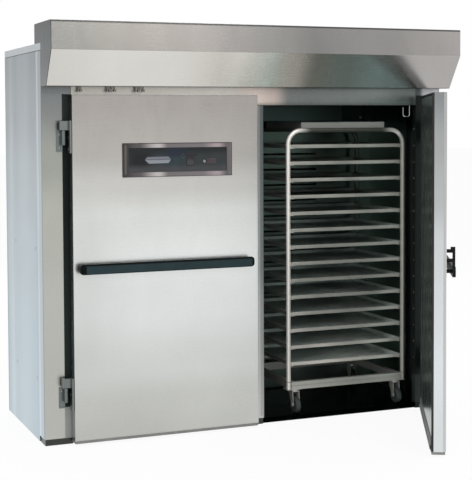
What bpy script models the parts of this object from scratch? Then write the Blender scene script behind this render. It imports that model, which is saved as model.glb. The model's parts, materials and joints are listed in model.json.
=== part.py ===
"""Two-door roll-in proofing cabinet with a rack trolley in its right bay.

Metres, +Z up. The front faces -Y, and the origin is on the floor at the centre of the cabinet's footprint.
Run with: blender --background --python part.py
"""
import math

import bmesh
import bpy
from mathutils import Matrix, Vector

# Driving dimensions of the cabinet body
BODY_WIDTH = 2.553
BODY_DEPTH = 0.955
BODY_HEIGHT = 2.260
ROOF_THICKNESS = 0.043
PANEL_THICKNESS = 0.060
PANEL_EDGE_BEVEL = 0.0015
SEAM_WIDTH = 0.002
SEAM_DEPTH = 0.003
PANEL_FLOOR_GAP = 0.002
SIDE_SEAM_FROM_BACK = 0.220
FIT = 0.0003
OVERRUN = 0.020

# Front frame
POST_WIDTH = 0.118
POST_DEPTH = 0.120
MULLION_WIDTH = 0.134
HEADER_HEIGHT = 0.303
BASE_HEIGHT = 0.036
BASE_SETBACK = 0.006
BASE_WELD = 0.010
STRIP_WIDTH = 0.052
STRIP_SHEET = 0.004
STRIP_RETURN = 0.040
STRIP_FOOT_HEIGHT = 0.177
STRIP_ABOVE_DOOR = 0.004
STRIP_JOINT = 0.001

# Floor pan
FLOOR_THICKNESS = 0.020
FLOOR_SETBACK = 0.020
FLOOR_NOSE_HEIGHT = 0.005
FLOOR_RAMP_LENGTH = 0.045

# Hood
HOOD_RISE = 0.110
HOOD_FACE_HEIGHT = 0.159
HOOD_SLOPE_HEIGHT = 0.1945
HOOD_PROJECTION = 0.243
HOOD_LOWER_PROJECTION = 0.119
HOOD_BACK = 0.140
HOOD_SHEET = 0.002
HOOD_TOP_BEND = 0.008
HOOD_CREASE_BEND = 0.004
HOOD_CLIP_WIDTH = 0.014
HOOD_CLIP_HEIGHT = 0.028
HOOD_CLIP_REACH = 0.022
HOOD_CLIP_SHEET = 0.003
HOOD_CLIP_SETBACK = 0.030
HOOD_CLIP_FIRST = 0.215
HOOD_CLIP_PAIR_SPACING = 0.028
HOOD_CLIP_PAIR_PITCH = 0.169

# Doors
DOOR_TOP_LAP = 0.057
DOOR_BOTTOM = 0.030
DOOR_MEETING_GAP = 0.006
DOOR_HINGE_GAP = 0.0375
DOOR_THICKNESS = 0.0747
DOOR_STANDOFF = 0.004
DOOR_SHEET = 0.0015
DOOR_CORE_MARGIN = 0.0024
DOOR_SKIN_RETURN = 0.016
DOOR_SKIN_BEND = 0.003
DOOR_FIELD_MARGIN = 0.016
DOOR_FIELD_RAISE = 0.008
RIGHT_DOOR_OPEN = math.radians(62.6)
GASKET_WIDTH = 0.011
GASKET_SETBACK = 0.0015
GASKET_BEVEL = 0.002
SWEEP_HEIGHT = 0.015
SWEEP_EDGE = 0.004
FLAP_THICKNESS = 0.004
FLAP_TOP = 0.086
FLAP_BULGE = 0.008
FLAP_TUCK = 0.016
FLAP_FLOOR_GAP = 0.003
FLAP_STRAIGHT = 0.036
FLAP_SIDE_CLEARANCE = 0.015

# Door handles
HANDLE_CENTRE = 1.000
HANDLE_HEIGHT = 0.058
HANDLE_THICKNESS = 0.016
HANDLE_STANDOFF = 0.037
HANDLE_EDGE = 0.006
HANDLE_END_RADIUS = 0.020
HANDLE_HINGE_INSET = 0.0245
HANDLE_MEETING_INSET = 0.046
HANDLE_POST_RADIUS = 0.011
HANDLE_POST_INSET = 0.060
HANDLE_POST_COUNT = 3
PULL_WIDTH = 0.022
PULL_TOP = 1.136
PULL_HEAD = 0.022
PULL_HEAD_DEPTH = 0.026
PULL_POST_HEIGHT = 0.018
PULL_LOW_POST = 1.063
PULL_INSET = 0.060

# Hinges
PIN_STANDOFF = 0.035
PIN_RADIUS = 0.006
PIN_CLEARANCE = 0.0006
PIN_TOP_CLEARANCE = 0.001
HINGE_BELOW_DOOR_TOP = 0.142
HINGE_ABOVE_DOOR_BOTTOM = 0.355
HINGE_ARM_HEIGHT = 0.056
HINGE_ARM_DEPTH = 0.028
HINGE_ARM_OVERHANG = 0.024
HINGE_ARM_ROOF = 0.012
HINGE_STRAP_LENGTH = 0.184
HINGE_STRAP_THICKNESS = 0.012
HINGE_STRAP_WIDTH = 0.052
HINGE_STRAP_SETBACK = 0.006
HINGE_BARREL_RADIUS = 0.011
HINGE_BARREL_LENGTH = 0.080
HINGE_RUNNING_GAP = 0.002
HINGE_PLATE_WIDTH = 0.034
HINGE_PLATE_LENGTH = 0.118
HINGE_PLATE_THICKNESS = 0.006
HINGE_WEB_THICKNESS = 0.010
HINGE_EDGE = 0.002

# Control panel on the left door
PANEL_FROM_MEETING = 0.4985
PANEL_BELOW_DOOR_TOP = 0.369
BEZEL_WIDTH = 0.663
BEZEL_HEIGHT = 0.193
BEZEL_SIDE_BORDER = 0.034
BEZEL_TOP_BORDER = 0.027
BEZEL_DEPTH = 0.008
BEZEL_BEVEL = 0.002
FACE_THICKNESS = 0.004
KEY_CLEARANCE = 0.0006
KEY_LENGTH = 0.0048
KEY_SKIN_GAP = 0.0024
KEY_BEVEL = 0.0008
POWER_KEY_RADIUS = 0.009
POWER_KEY_OFFSET = 0.160
POWER_KEY_DROP = 0.012
START_KEY_WIDTH = 0.060
START_KEY_HEIGHT = 0.024
START_KEY_OFFSET = 0.204
START_KEY_DROP = 0.010
LAMP_RADIUS = 0.006
LAMP_HEIGHT = 0.005
LAMP_OFFSET = 0.031
LAMP_RISE = 0.022

# Air system
PLENUM_WIDTH = 1.310
PLENUM_FRONT_GAP = 0.012
PLENUM_SHEET = 0.002
RACK_TO_PLENUM = 0.009
INTAKE_SLOT_WIDTH = 0.014
INTAKE_SLOT_PITCH = 0.030
INTAKE_SLOT_COUNT = 9
INTAKE_SLOT_LENGTH = 0.240
DISCHARGE_MARGIN = 0.060
DISCHARGE_DEPTH = 0.070
DISCHARGE_REAR_RIM = 0.010
DUCT_DEPTH = 0.095
DUCT_SHEET = 0.002
LOUVRE_BELOW_RUNNER = 0.050
LOUVRE_LENGTH = 0.420
LOUVRE_SLOT = 0.012
LOUVRE_REACH = 0.014
LOUVRE_DROP = 0.012
LOUVRE_SHEET = 0.0015
MOTOR_RADIUS = 0.068
MOTOR_HEIGHT = 0.110
MOTOR_FLANGE_RADIUS = 0.090
MOTOR_FLANGE = 0.006
MOTOR_BOSS_RADIUS = 0.024
MOTOR_BOSS = 0.010
SHAFT_RADIUS = 0.008
SHAFT_CLEARANCE = 0.0005
SHAFT_INSERT = 0.040
WHEEL_GAP = 0.012
WHEEL_RADIUS = 0.130
WHEEL_HEIGHT = 0.080
WHEEL_EYE_RADIUS = 0.085
WHEEL_PLATE = 0.003
WHEEL_HUB_RADIUS = 0.022
WHEEL_HUB_HEIGHT = 0.030
BLADE_COUNT = 18
BLADE_SHEET = 0.002
BLADE_SWEEP = math.radians(28)
ELEMENT_RADIUS = 0.006
ELEMENT_BEND = 0.022
ELEMENT_HALF_LENGTH = 0.420
ELEMENT_PITCH = 0.050
ELEMENT_PASSES = 4
ELEMENT_HEIGHT = 0.120
ELEMENT_FRONT = 0.520
HUMIDIFIER_WIDTH = 0.280
HUMIDIFIER_DEPTH = 0.240
HUMIDIFIER_HEIGHT = 0.070
HUMIDIFIER_SHEET = 0.0015
HUMIDIFIER_SIDE_GAP = 0.040
HUMIDIFIER_FRONT_GAP = 0.060
IMMERSION_HEIGHT = 0.022
IMMERSION_MARGIN = 0.040
TERMINAL_LENGTH = 0.030
BOX_WIDTH = 0.460
BOX_DEPTH = 0.100
BOX_HEIGHT = 0.080
BOX_SETBACK = 0.016
BOX_BEVEL = 0.003
GLAND_THREAD_RADIUS = 0.008
GLAND_HEAD_RADIUS = 0.013
GLAND_HEAD_LENGTH = 0.012
GLAND_DOME_LENGTH = 0.012
GLAND_MOUTH_RADIUS = 0.005
GLAND_THREAD_LENGTH = 0.012
GLAND_FROM_SIDE = 0.400
GLAND_HEIGHT = 0.050
HOOK_RADIUS = 0.004
HOOK_BEND = 0.014
HOOK_LENGTH = 0.070
HOOK_WIDTH = 0.046
HOOK_TIP = 0.056
HOOK_FROM_OPENING_EDGE = 0.022
HOOK_SETBACK = 0.040

# Rack trolley
RACK_MULLION_CLEARANCE = 0.1985
RACK_DUCT_CLEARANCE = 0.050
RACK_FRONT_INSET = 0.100
RACK_SIDE_CLEARANCE = 0.016
RACK_BELOW_HEADER = 0.103
RACK_LEVELS = 14
TOP_RUNNER_BELOW_HOOP = 0.1227
RACK_TUBE_RADIUS = 0.014
RACK_BEND = 0.085
RAIL_WIDTH = 0.028
RAIL_HEIGHT = 0.045
RAIL_GROOVE = 0.004
FIRST_RUNNER_ABOVE_RAIL = 0.099
RUNNER_SHEET = 0.0015
RUNNER_LEG = 0.022
RUNNER_SINK = 0.002
CHANNEL_INSET = 0.1225
CHANNEL_RISE = 0.036
CHANNEL_SHEET = 0.002
CHANNEL_SETBACK = 0.055
CHANNEL_STEP = 0.009
CHANNEL_SIDE_DEPTH = 0.023
WELD_OVERLAP = 0.005
TRAY_SHEET = 0.0015
TRAY_RIM = 0.020
TRAY_FLARE = 0.004
TRAY_SIDE_CLEARANCE = 0.002
TRAY_SETBACK = 0.012
CASTER_PLATE = 0.004
CASTER_PLATE_HALF = 0.034
CASTER_HEIGHT = 0.1437
CASTER_INSET = 0.060
CASTER_SETBACK = 0.034
CASTER_WHEEL_RADIUS = 0.050
CASTER_WHEEL_WIDTH = 0.032
CASTER_WHEEL_EDGE = 0.006
CASTER_HUB_RADIUS = 0.016
CASTER_HUB_PROUD = 0.0015
CASTER_RIM_RADIUS = 0.036
CASTER_RIM_RECESS = 0.004
CASTER_FORK_WIDTH = 0.046
CASTER_FORK_SHEET = 0.004
CASTER_FORK_HALF_TOP = 0.028
CASTER_FORK_FOOT_RADIUS = 0.013
CASTER_HEAD_RADIUS = 0.029
CASTER_HEAD_HEIGHT = 0.010
CASTER_SHOULDER = 0.012
CASTER_TRAIL = 0.024
AXLE_RADIUS = 0.006
AXLE_CLEARANCE = 0.0006
AXLE_HEAD_RADIUS = 0.010
AXLE_HEAD = 0.004
NUT_SIDES = 6

# Roundness of turned and bent pieces
ARC_STEPS = 6
SMALL_ARC_STEPS = 3
ROUND_STEPS = 28
SMALL_ROUND_STEPS = 16
TUBE_RESOLUTION = 2
SMOOTH_ANGLE = math.radians(35)
WELD = 0.00001
MERGE = 0.0001

# Places worked out from the sizes above
FRONT = -BODY_DEPTH / 2
BACK = BODY_DEPTH / 2
ROOF_BOTTOM = BODY_HEIGHT - ROOF_THICKNESS
OPENING_TOP = ROOF_BOTTOM - HEADER_HEIGHT
OPENING_EDGE = POST_WIDTH + STRIP_WIDTH
DOOR_TOP = OPENING_TOP + DOOR_TOP_LAP
DOOR_EDGE = POST_WIDTH + DOOR_HINGE_GAP
DOOR_BACK_Y = FRONT - DOOR_STANDOFF
DOOR_FRONT_Y = DOOR_BACK_Y - DOOR_THICKNESS
DOOR_SEAT_Y = DOOR_BACK_Y - DOOR_FIELD_RAISE
STRIP_BOTTOM = BASE_HEIGHT + STRIP_FOOT_HEIGHT
STRIP_TOP = DOOR_TOP + STRIP_ABOVE_DOOR
PIN_Y = FRONT - PIN_STANDOFF
HOOD_TOP = BODY_HEIGHT + HOOD_RISE
HOOD_CREASE = HOOD_TOP - HOOD_FACE_HEIGHT
HOOD_LOWER = HOOD_CREASE - HOOD_SLOPE_HEIGHT
HOOD_BACK_Y = FRONT + HOOD_BACK
RACK_RIGHT = BODY_WIDTH / 2 - OPENING_EDGE - RACK_SIDE_CLEARANCE
RACK_LEFT = MULLION_WIDTH / 2 + RACK_MULLION_CLEARANCE
RACK_FRONT = FRONT + RACK_FRONT_INSET
WHEEL_FLOOR = FLOOR_THICKNESS + FIT
CASTER_PLATE_UNDER = WHEEL_FLOOR + CASTER_HEIGHT
RAIL_BOTTOM = CASTER_PLATE_UNDER + CASTER_PLATE
RAIL_TOP = RAIL_BOTTOM + RAIL_HEIGHT
RACK_TOP = OPENING_TOP - RACK_BELOW_HEADER
RACK_HOOP_TOP = RACK_TOP - CHANNEL_RISE
FIRST_RUNNER = RAIL_TOP + FIRST_RUNNER_ABOVE_RAIL
TOP_RUNNER = RACK_HOOP_TOP - TOP_RUNNER_BELOW_HOOP
RACK_PITCH = (TOP_RUNNER - FIRST_RUNNER) / (RACK_LEVELS - 1)
LEG_INNER_LEFT = RACK_LEFT + 2 * RACK_TUBE_RADIUS
LEG_INNER_RIGHT = RACK_RIGHT - 2 * RACK_TUBE_RADIUS
PLENUM_BOTTOM = RACK_TOP + RACK_TO_PLENUM
PLENUM_FRONT_Y = FRONT + POST_DEPTH + PLENUM_FRONT_GAP
REAR_WALL_Y = BACK - PANEL_THICKNESS
DUCT_Y = REAR_WALL_Y - DUCT_DEPTH
RACK_BACK = DUCT_Y - RACK_DUCT_CLEARANCE
CASTER_AXLE_Z = WHEEL_FLOOR + CASTER_WHEEL_RADIUS

SIDE_NAMES = {-1: "left", 1: "right"}

# Colours, roughness and metallic value of each finish
FINISHES = {
    "brushed_steel": ((0.62, 0.61, 0.59), 0.34, 1.0),
    "side_steel": ((0.58, 0.62, 0.65), 0.38, 1.0),
    "hood_steel": ((0.64, 0.63, 0.61), 0.26, 1.0),
    "liner_steel": ((0.20, 0.22, 0.21), 0.40, 1.0),
    "rack_steel": ((0.46, 0.45, 0.43), 0.40, 1.0),
    "tray_steel": ((0.56, 0.57, 0.56), 0.36, 1.0),
    "hinge_steel": ((0.66, 0.67, 0.66), 0.30, 1.0),
    "black_plastic": ((0.020, 0.028, 0.027), 0.42, 0.0),
    "handle_plastic": ((0.045, 0.065, 0.068), 0.38, 0.0),
    "dark_rubber": ((0.030, 0.032, 0.032), 0.75, 0.0),
    "grey_rubber": ((0.26, 0.26, 0.25), 0.70, 0.0),
    "dark_glass": ((0.030, 0.040, 0.042), 0.16, 0.0),
    "white_key": ((0.72, 0.72, 0.70), 0.45, 0.0),
    "red_lens": ((0.32, 0.10, 0.09), 0.25, 0.0),
    "motor_paint": ((0.12, 0.13, 0.15), 0.50, 0.2),
    "element_steel": ((0.25, 0.20, 0.18), 0.45, 0.9),
    "caster_steel": ((0.50, 0.51, 0.50), 0.42, 1.0),
    "caster_tyre": ((0.035, 0.038, 0.038), 0.65, 0.0),
}


def start_scene():
    """Empty the scene and make the collections for the parts and for the cutters."""
    for old in list(bpy.data.objects):
        bpy.data.objects.remove(old, do_unlink=True)
    parts = bpy.data.collections.new("proofing_cabinet")
    cutters = bpy.data.collections.new("cutters")
    bpy.context.scene.collection.children.link(parts)
    bpy.context.scene.collection.children.link(cutters)
    return parts, cutters


PARTS, CUTTERS = start_scene()


def from_side(side, distance):
    """X at a distance inwards from the cabinet's left (-1) or right (1) outer face."""
    return side * (BODY_WIDTH / 2 - distance)


def keep(obj, finish):
    """Put an object among the parts, with its own material of the named finish."""
    colour, roughness, metallic = FINISHES[finish]
    material = bpy.data.materials.new(obj.name + "_" + finish)
    material.use_nodes = True
    shader = material.node_tree.nodes["Principled BSDF"]
    shader.inputs["Base Color"].default_value = (*colour, 1.0)
    shader.inputs["Roughness"].default_value = roughness
    shader.inputs["Metallic"].default_value = metallic
    obj.data.materials.clear()
    obj.data.materials.append(material)
    return obj


def new_object(name, data):
    obj = bpy.data.objects.new(name, data)
    PARTS.objects.link(obj)
    return obj


def as_cutter(obj):
    """Move an object to the cutters, where the build leaves it out."""
    PARTS.objects.unlink(obj)
    CUTTERS.objects.link(obj)
    obj.hide_render = True
    obj.display_type = "WIRE"
    return obj


def box(name, x_span, y_span, z_span, bevel=0.0, segments=1):
    """A box between two values on each axis, with its origin at its centre."""
    spans = [sorted(span) for span in (x_span, y_span, z_span)]
    mesh = bpy.data.meshes.new(name)
    work = bmesh.new()
    bmesh.ops.create_cube(work, size=1.0)
    bmesh.ops.scale(work, vec=Vector([high - low for low, high in spans]), verts=work.verts)
    work.to_mesh(mesh)
    work.free()
    obj = new_object(name, mesh)
    obj.location = Vector([(low + high) / 2 for low, high in spans])
    if bevel > 0:
        round_edges(obj, bevel, segments)
    return obj


def round_edges(obj, width, segments=2):
    modifier = obj.modifiers.new("round_edges", "BEVEL")
    modifier.width = width
    modifier.segments = segments
    modifier.limit_method = "ANGLE"
    return obj


def add_boolean(obj, other, operation):
    modifier = obj.modifiers.new(operation.lower(), "BOOLEAN")
    modifier.operation = operation
    modifier.solver = "EXACT"
    modifier.object = as_cutter(other)
    return obj


def cut(obj, *cutters):
    for cutter in cutters:
        add_boolean(obj, cutter, "DIFFERENCE")
    return obj


def unite(obj, *others):
    for other in others:
        add_boolean(obj, other, "UNION")
    return obj


def solid_mesh(obj):
    """The object's evaluated mesh in world space, with loose caps welded and faces pointing out."""
    bpy.context.view_layer.update()
    evaluated = obj.evaluated_get(bpy.context.evaluated_depsgraph_get())
    mesh = bpy.data.meshes.new_from_object(evaluated)
    work = bmesh.new()
    work.from_mesh(mesh)
    bmesh.ops.transform(work, matrix=obj.matrix_world, verts=work.verts)
    bmesh.ops.remove_doubles(work, verts=work.verts, dist=WELD)
    bmesh.ops.recalc_face_normals(work, faces=work.faces)
    work.to_mesh(mesh)
    work.free()
    return mesh


def join(name, pieces):
    """Several solids as one named object. They stay separate bodies."""
    work = bmesh.new()
    for piece in pieces:
        mesh = solid_mesh(piece)
        work.from_mesh(mesh)
        bpy.data.meshes.remove(mesh)
    for piece in pieces:
        bpy.data.objects.remove(piece, do_unlink=True)
    mesh = bpy.data.meshes.new(name)
    work.to_mesh(mesh)
    work.free()
    return new_object(name, mesh)


def settle(obj):
    """Turn a curve or a stack of modifiers into a plain mesh that can be cut or joined."""
    return join(obj.name.split(".")[0], [obj])


# Local X and Y of a flat outline go to these two axes, and its thickness to the third
OUTLINE_PLANES = {
    "XY": Matrix.Identity(4),
    "YZ": Matrix(((0, 0, 1, 0), (1, 0, 0, 0), (0, 1, 0, 0), (0, 0, 0, 1))),
    "XZ": Matrix(((1, 0, 0, 0), (0, 0, -1, 0), (0, 1, 0, 0), (0, 0, 0, 1))),
}
THICKNESS_AXIS = {"XY": Vector((0, 0, 1)), "YZ": Vector((1, 0, 0)), "XZ": Vector((0, 1, 0))}


def plate(name, plane, outline, span):
    """A flat outline given in world values of the plane's two axes, thickened over a span of the third."""
    low, high = sorted(span)
    curve = bpy.data.curves.new(name, "CURVE")
    curve.dimensions = "2D"
    curve.fill_mode = "BOTH"
    curve.extrude = (high - low) / 2
    spline = curve.splines.new("POLY")
    spline.points.add(len(outline) - 1)
    for point, (u, v) in zip(spline.points, outline):
        point.co = (u, v, 0.0, 1.0)
    spline.use_cyclic_u = True
    obj = new_object(name, curve)
    middle = THICKNESS_AXIS[plane] * (low + high) / 2
    obj.matrix_world = Matrix.Translation(middle) @ OUTLINE_PLANES[plane]
    return settle(obj)


def rounded_path(corners, radius, steps=ARC_STEPS, closed=False):
    """Points along a path of straight runs whose corners are arcs of one radius."""
    points = []
    count = len(corners)
    for index, corner in enumerate(corners):
        here = Vector(corner)
        if not closed and index in (0, count - 1):
            points.append(here)
            continue
        before = (Vector(corners[index - 1]) - here).normalized()
        after = (Vector(corners[(index + 1) % count]) - here).normalized()
        half = before.angle(after) / 2
        reach = radius / math.tan(half)
        centre = here + (before + after).normalized() * (radius / math.sin(half))
        start = here + before * reach - centre
        end = here + after * reach - centre
        sweep = start.angle(end)
        for step in range(steps + 1):
            share = step / steps
            turned = start * math.sin((1 - share) * sweep) + end * math.sin(share * sweep)
            points.append(centre + turned / math.sin(sweep))
    return points


def tube(name, points, radius, resolution=TUBE_RESOLUTION):
    """A round bar along a path, with flat ends."""
    curve = bpy.data.curves.new(name, "CURVE")
    curve.dimensions = "3D"
    curve.bevel_depth = radius
    curve.bevel_resolution = resolution
    curve.use_fill_caps = True
    spline = curve.splines.new("POLY")
    spline.points.add(len(points) - 1)
    for point, place in zip(spline.points, points):
        point.co = (*place, 1.0)
    spline.use_smooth = True
    obj = settle(new_object(name, curve))
    return shade_round(obj)


def turned(name, profile, steps=ROUND_STEPS):
    """A solid of revolution about Z. The profile of (radius, z) runs down its outer side, top to bottom."""
    mesh = bpy.data.meshes.new(name)
    work = bmesh.new()
    corners = [work.verts.new((radius, 0.0, z)) for radius, z in profile]
    for first, second in zip(corners, corners[1:]):
        work.edges.new((first, second))
    if profile[0] != profile[-1] and profile[0][0] > 0:
        work.edges.new((corners[-1], corners[0]))
    work.to_mesh(mesh)
    work.free()
    obj = new_object(name, mesh)
    modifier = obj.modifiers.new("turn", "SCREW")
    modifier.axis = "Z"
    modifier.angle = 2 * math.pi
    modifier.steps = steps
    modifier.render_steps = steps
    modifier.use_merge_vertices = True
    modifier.merge_threshold = MERGE
    modifier.use_smooth_shade = False
    return settle(obj)


def shade_round(obj):
    obj.data.shade_smooth()
    obj.data.set_sharp_from_angle(angle=SMOOTH_ANGLE)
    return obj


def move(obj, place, turn=None):
    """Carry a mesh made at the origin to its place, with an optional rotation first."""
    matrix = Matrix.Translation(Vector(place))
    if turn is not None:
        matrix = matrix @ turn
    obj.matrix_world = matrix
    return obj


def along_y():
    """Rotation that lays a piece turned about Z along Y, its top towards the back."""
    return Matrix.Rotation(-math.pi / 2, 4, "X")


def along_x():
    """Rotation that lays a piece turned about Z along X."""
    return Matrix.Rotation(math.pi / 2, 4, "Y")


def rod(name, radius, span, steps=SMALL_ROUND_STEPS):
    """A plain cylinder about Z between two heights."""
    low, high = sorted(span)
    mesh = bpy.data.meshes.new(name)
    work = bmesh.new()
    bmesh.ops.create_cone(
        work, cap_ends=True, segments=steps, radius1=radius, radius2=radius, depth=high - low)
    bmesh.ops.translate(work, vec=Vector((0, 0, (low + high) / 2)), verts=work.verts)
    work.to_mesh(mesh)
    work.free()
    return new_object(name, mesh)


def open_pan(name, x_span, y_span, z_span, open_side, sheet, bend=0.0):
    """A tray of sheet metal: a box with one face left open, thickened inwards."""
    obj = box(name, x_span, y_span, z_span)
    work = bmesh.new()
    work.from_mesh(obj.data)
    direction = Vector(open_side)
    gone = [face for face in work.faces if face.normal.dot(direction) > 0.5]
    bmesh.ops.delete(work, geom=gone, context="FACES_ONLY")
    work.to_mesh(obj.data)
    work.free()
    if bend > 0:
        round_edges(obj, bend, 2)
    return thicken(obj, sheet)


def thicken(obj, sheet):
    modifier = obj.modifiers.new("sheet", "SOLIDIFY")
    modifier.thickness = sheet
    modifier.offset = -1.0
    modifier.use_even_offset = True
    return obj


def folded_sheet(name, profile, x_span, sheet):
    """A sheet folded along X. Its outer surface is on the right of the (y, z) profile's direction."""
    low, high = sorted(x_span)
    mesh = bpy.data.meshes.new(name)
    work = bmesh.new()
    corners = [work.verts.new((low, y, z)) for y, z in profile]
    edges = [work.edges.new(pair) for pair in zip(corners, corners[1:])]
    run = corners[1].co - corners[0].co
    outward = Vector((0, run.z, -run.y))
    extruded = bmesh.ops.extrude_edge_only(work, edges=edges)["geom"]
    moved = [item for item in extruded if isinstance(item, bmesh.types.BMVert)]
    bmesh.ops.translate(work, vec=Vector((high - low, 0, 0)), verts=moved)
    bmesh.ops.recalc_face_normals(work, faces=work.faces)
    work.normal_update()
    first = next(face for face in work.faces if corners[0] in face.verts)
    if first.normal.dot(outward) < 0:
        bmesh.ops.reverse_faces(work, faces=work.faces)
    work.to_mesh(mesh)
    work.free()
    return thicken(new_object(name, mesh), sheet)


def empty_at(name, place):
    """An empty on a joint's axis, which carries the pieces that move about it."""
    obj = bpy.data.objects.new(name, None)
    PARTS.objects.link(obj)
    obj.location = place
    return obj


def carry(axis, pieces):
    """Parent pieces to an empty without moving them, together with what cuts or joins them."""
    bpy.context.view_layer.update()
    group = list(pieces)
    for piece in pieces:
        group += [modifier.object for modifier in piece.modifiers if modifier.type == "BOOLEAN"]
    for piece in group:
        place = piece.matrix_world.copy()
        piece.parent = axis
        piece.matrix_parent_inverse = axis.matrix_world.inverted()
        piece.matrix_world = place


# Front frame and base

def make_plinth(x_span, clearance=0.0):
    """The base block below a post, or with a clearance the cutter that lets the floor pan pass it."""
    low = -OVERRUN if clearance else 0.0
    x_span = (min(x_span) - clearance, max(x_span) + clearance)
    y_span = (FRONT + BASE_SETBACK - clearance, FRONT + POST_DEPTH - BASE_SETBACK + clearance)
    return box("plinth", x_span, y_span, (low, BASE_HEIGHT + BASE_WELD))


def plinth_span(side):
    """The x span of a base block: -1 and 1 for the corner posts, 0 for the mullion."""
    if side:
        return (from_side(side, BASE_SETBACK), from_side(side, OPENING_EDGE - BASE_SETBACK))
    half = MULLION_WIDTH / 2 - BASE_SETBACK
    return (-half, half)


def make_floor_base():
    """The floor pan with its ramped nose, notched round the posts' base blocks."""
    nose = FRONT + FLOOR_SETBACK
    end = REAR_WALL_Y - FIT
    outline = (
        (nose, 0.0),
        (end, 0.0),
        (end, FLOOR_THICKNESS),
        (nose + FLOOR_RAMP_LENGTH, FLOOR_THICKNESS),
        (nose, FLOOR_NOSE_HEIGHT),
    )
    reach = BODY_WIDTH / 2 - PANEL_THICKNESS - FIT
    pan = plate("floor_base", "YZ", outline, (-reach, reach))
    notches = [make_plinth(plinth_span(side), FIT) for side in (-1, 0, 1)]
    keep(cut(pan, *notches), "liner_steel")


def strip_outline(side, clearance):
    """The breaker strip's L section in plan, or with a clearance the rebate that takes it."""
    outer = FRONT - (OVERRUN if clearance else 0)
    edge = OPENING_EDGE + (OVERRUN if clearance else 0)
    start = POST_WIDTH + (0 if clearance else FIT)
    leg = OPENING_EDGE - STRIP_SHEET - clearance
    points = (
        (start, outer),
        (edge, outer),
        (edge, FRONT + STRIP_RETURN + clearance),
        (leg, FRONT + STRIP_RETURN + clearance),
        (leg, FRONT + STRIP_SHEET + clearance),
        (start, FRONT + STRIP_SHEET + clearance),
    )
    return [(from_side(side, distance), y) for distance, y in points]


def make_posts():
    """Front corner posts on their base blocks, each with the frame halves of its door's hinges."""
    for side, word in SIDE_NAMES.items():
        post = box(
            word + "_front_post",
            (from_side(side, 0), from_side(side, OPENING_EDGE)),
            (FRONT, FRONT + POST_DEPTH),
            (BASE_HEIGHT, ROOF_BOTTOM - FIT), PANEL_EDGE_BEVEL)
        rebate = plate("rebate", "XY", strip_outline(side, FIT), (BASE_HEIGHT - OVERRUN, STRIP_TOP + FIT))
        unite(cut(post, rebate), make_plinth(plinth_span(side)))
        for top in hinge_tops():
            unite(post, make_hinge_bracket(side, top))
        keep(post, "brushed_steel")


def make_hinge_bracket(side, top):
    """A plate and web on the post that hold the hinge's barrel and its pin."""
    pin_x = from_side(side, POST_WIDTH)
    barrel_top = top - HINGE_ARM_HEIGHT - HINGE_RUNNING_GAP
    barrel_bottom = barrel_top - HINGE_BARREL_LENGTH
    front = FRONT - HINGE_PLATE_THICKNESS
    base = box(
        "base", (pin_x + side * FIT, from_side(side, POST_WIDTH - HINGE_PLATE_WIDTH)),
        (front, FRONT + HINGE_PLATE_THICKNESS), (barrel_top - HINGE_PLATE_LENGTH, barrel_top))
    web = box(
        "web", (pin_x + side * HINGE_EDGE, pin_x + side * HINGE_WEB_THICKNESS),
        (PIN_Y, FRONT - HINGE_PLATE_THICKNESS / 2),
        (barrel_bottom + HINGE_EDGE, barrel_top - HINGE_EDGE))
    barrel = move(
        rod("barrel", HINGE_BARREL_RADIUS, (barrel_bottom, barrel_top)), (pin_x, PIN_Y, 0))
    pin_top = top - HINGE_ARM_ROOF - PIN_TOP_CLEARANCE
    pin = move(rod("pin", PIN_RADIUS, (barrel_top - HINGE_EDGE, pin_top)), (pin_x, PIN_Y, 0))
    return settle(unite(base, web, barrel, pin))


def make_strips():
    """Breaker strips beside the doors' hinge edges, down to the plinths, with the foot cover's joint."""
    for side, word in SIDE_NAMES.items():
        name = word + "_breaker_strip"
        strip = plate(name, "XY", strip_outline(side, 0), (BASE_HEIGHT + FIT, STRIP_TOP))
        joint = (STRIP_BOTTOM, STRIP_BOTTOM + STRIP_JOINT)
        across = (from_side(side, POST_WIDTH - OVERRUN), from_side(side, OPENING_EDGE + OVERRUN))
        front = box("joint", across, (FRONT - OVERRUN, FRONT + STRIP_JOINT), joint)
        inward = (from_side(side, OPENING_EDGE - STRIP_JOINT), from_side(side, OPENING_EDGE + OVERRUN))
        reveal = box("joint", inward, (FRONT - OVERRUN, FRONT + STRIP_RETURN + OVERRUN), joint)
        keep(cut(strip, front, reveal), "black_plastic")


def make_mullion_and_header():
    half = MULLION_WIDTH / 2
    y_span = (FRONT, FRONT + POST_DEPTH)
    mullion = box(
        "mullion_post", (-half, half), y_span, (BASE_HEIGHT, OPENING_TOP - FIT), PANEL_EDGE_BEVEL)
    keep(unite(mullion, make_plinth(plinth_span(0))), "brushed_steel")
    reach = BODY_WIDTH / 2 - OPENING_EDGE - FIT
    header = box(
        "header_panel", (-reach, reach), y_span, (OPENING_TOP, ROOF_BOTTOM - FIT), PANEL_EDGE_BEVEL)
    keep(unite(header, make_stay_hook()), "brushed_steel")


def make_stay_hook():
    """Bent rod that hangs from the header at the right, in which the open door's stay rests."""
    x = from_side(1, OPENING_EDGE + HOOK_FROM_OPENING_EDGE)
    y = FRONT + HOOK_SETBACK
    low = OPENING_TOP - HOOK_LENGTH
    corners = (
        (x, y, OPENING_TOP + HOOK_BEND),
        (x, y, low),
        (x - HOOK_WIDTH, y, low),
        (x - HOOK_WIDTH, y, low + HOOK_TIP),
    )
    return tube("stay_hook", rounded_path(corners, HOOK_BEND, SMALL_ARC_STEPS), HOOK_RADIUS)


# Walls and roof

def seam(axis, centre, face, span):
    """Cutter for the joint line between two panels: an upright groove in the wall's outer face."""
    half = SEAM_WIDTH / 2
    across = (centre - half, centre + half)
    depth = (face - SEAM_DEPTH, face + SEAM_DEPTH)
    if axis == "X":
        return box("seam", depth, across, span)
    return box("seam", across, depth, span)


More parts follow.
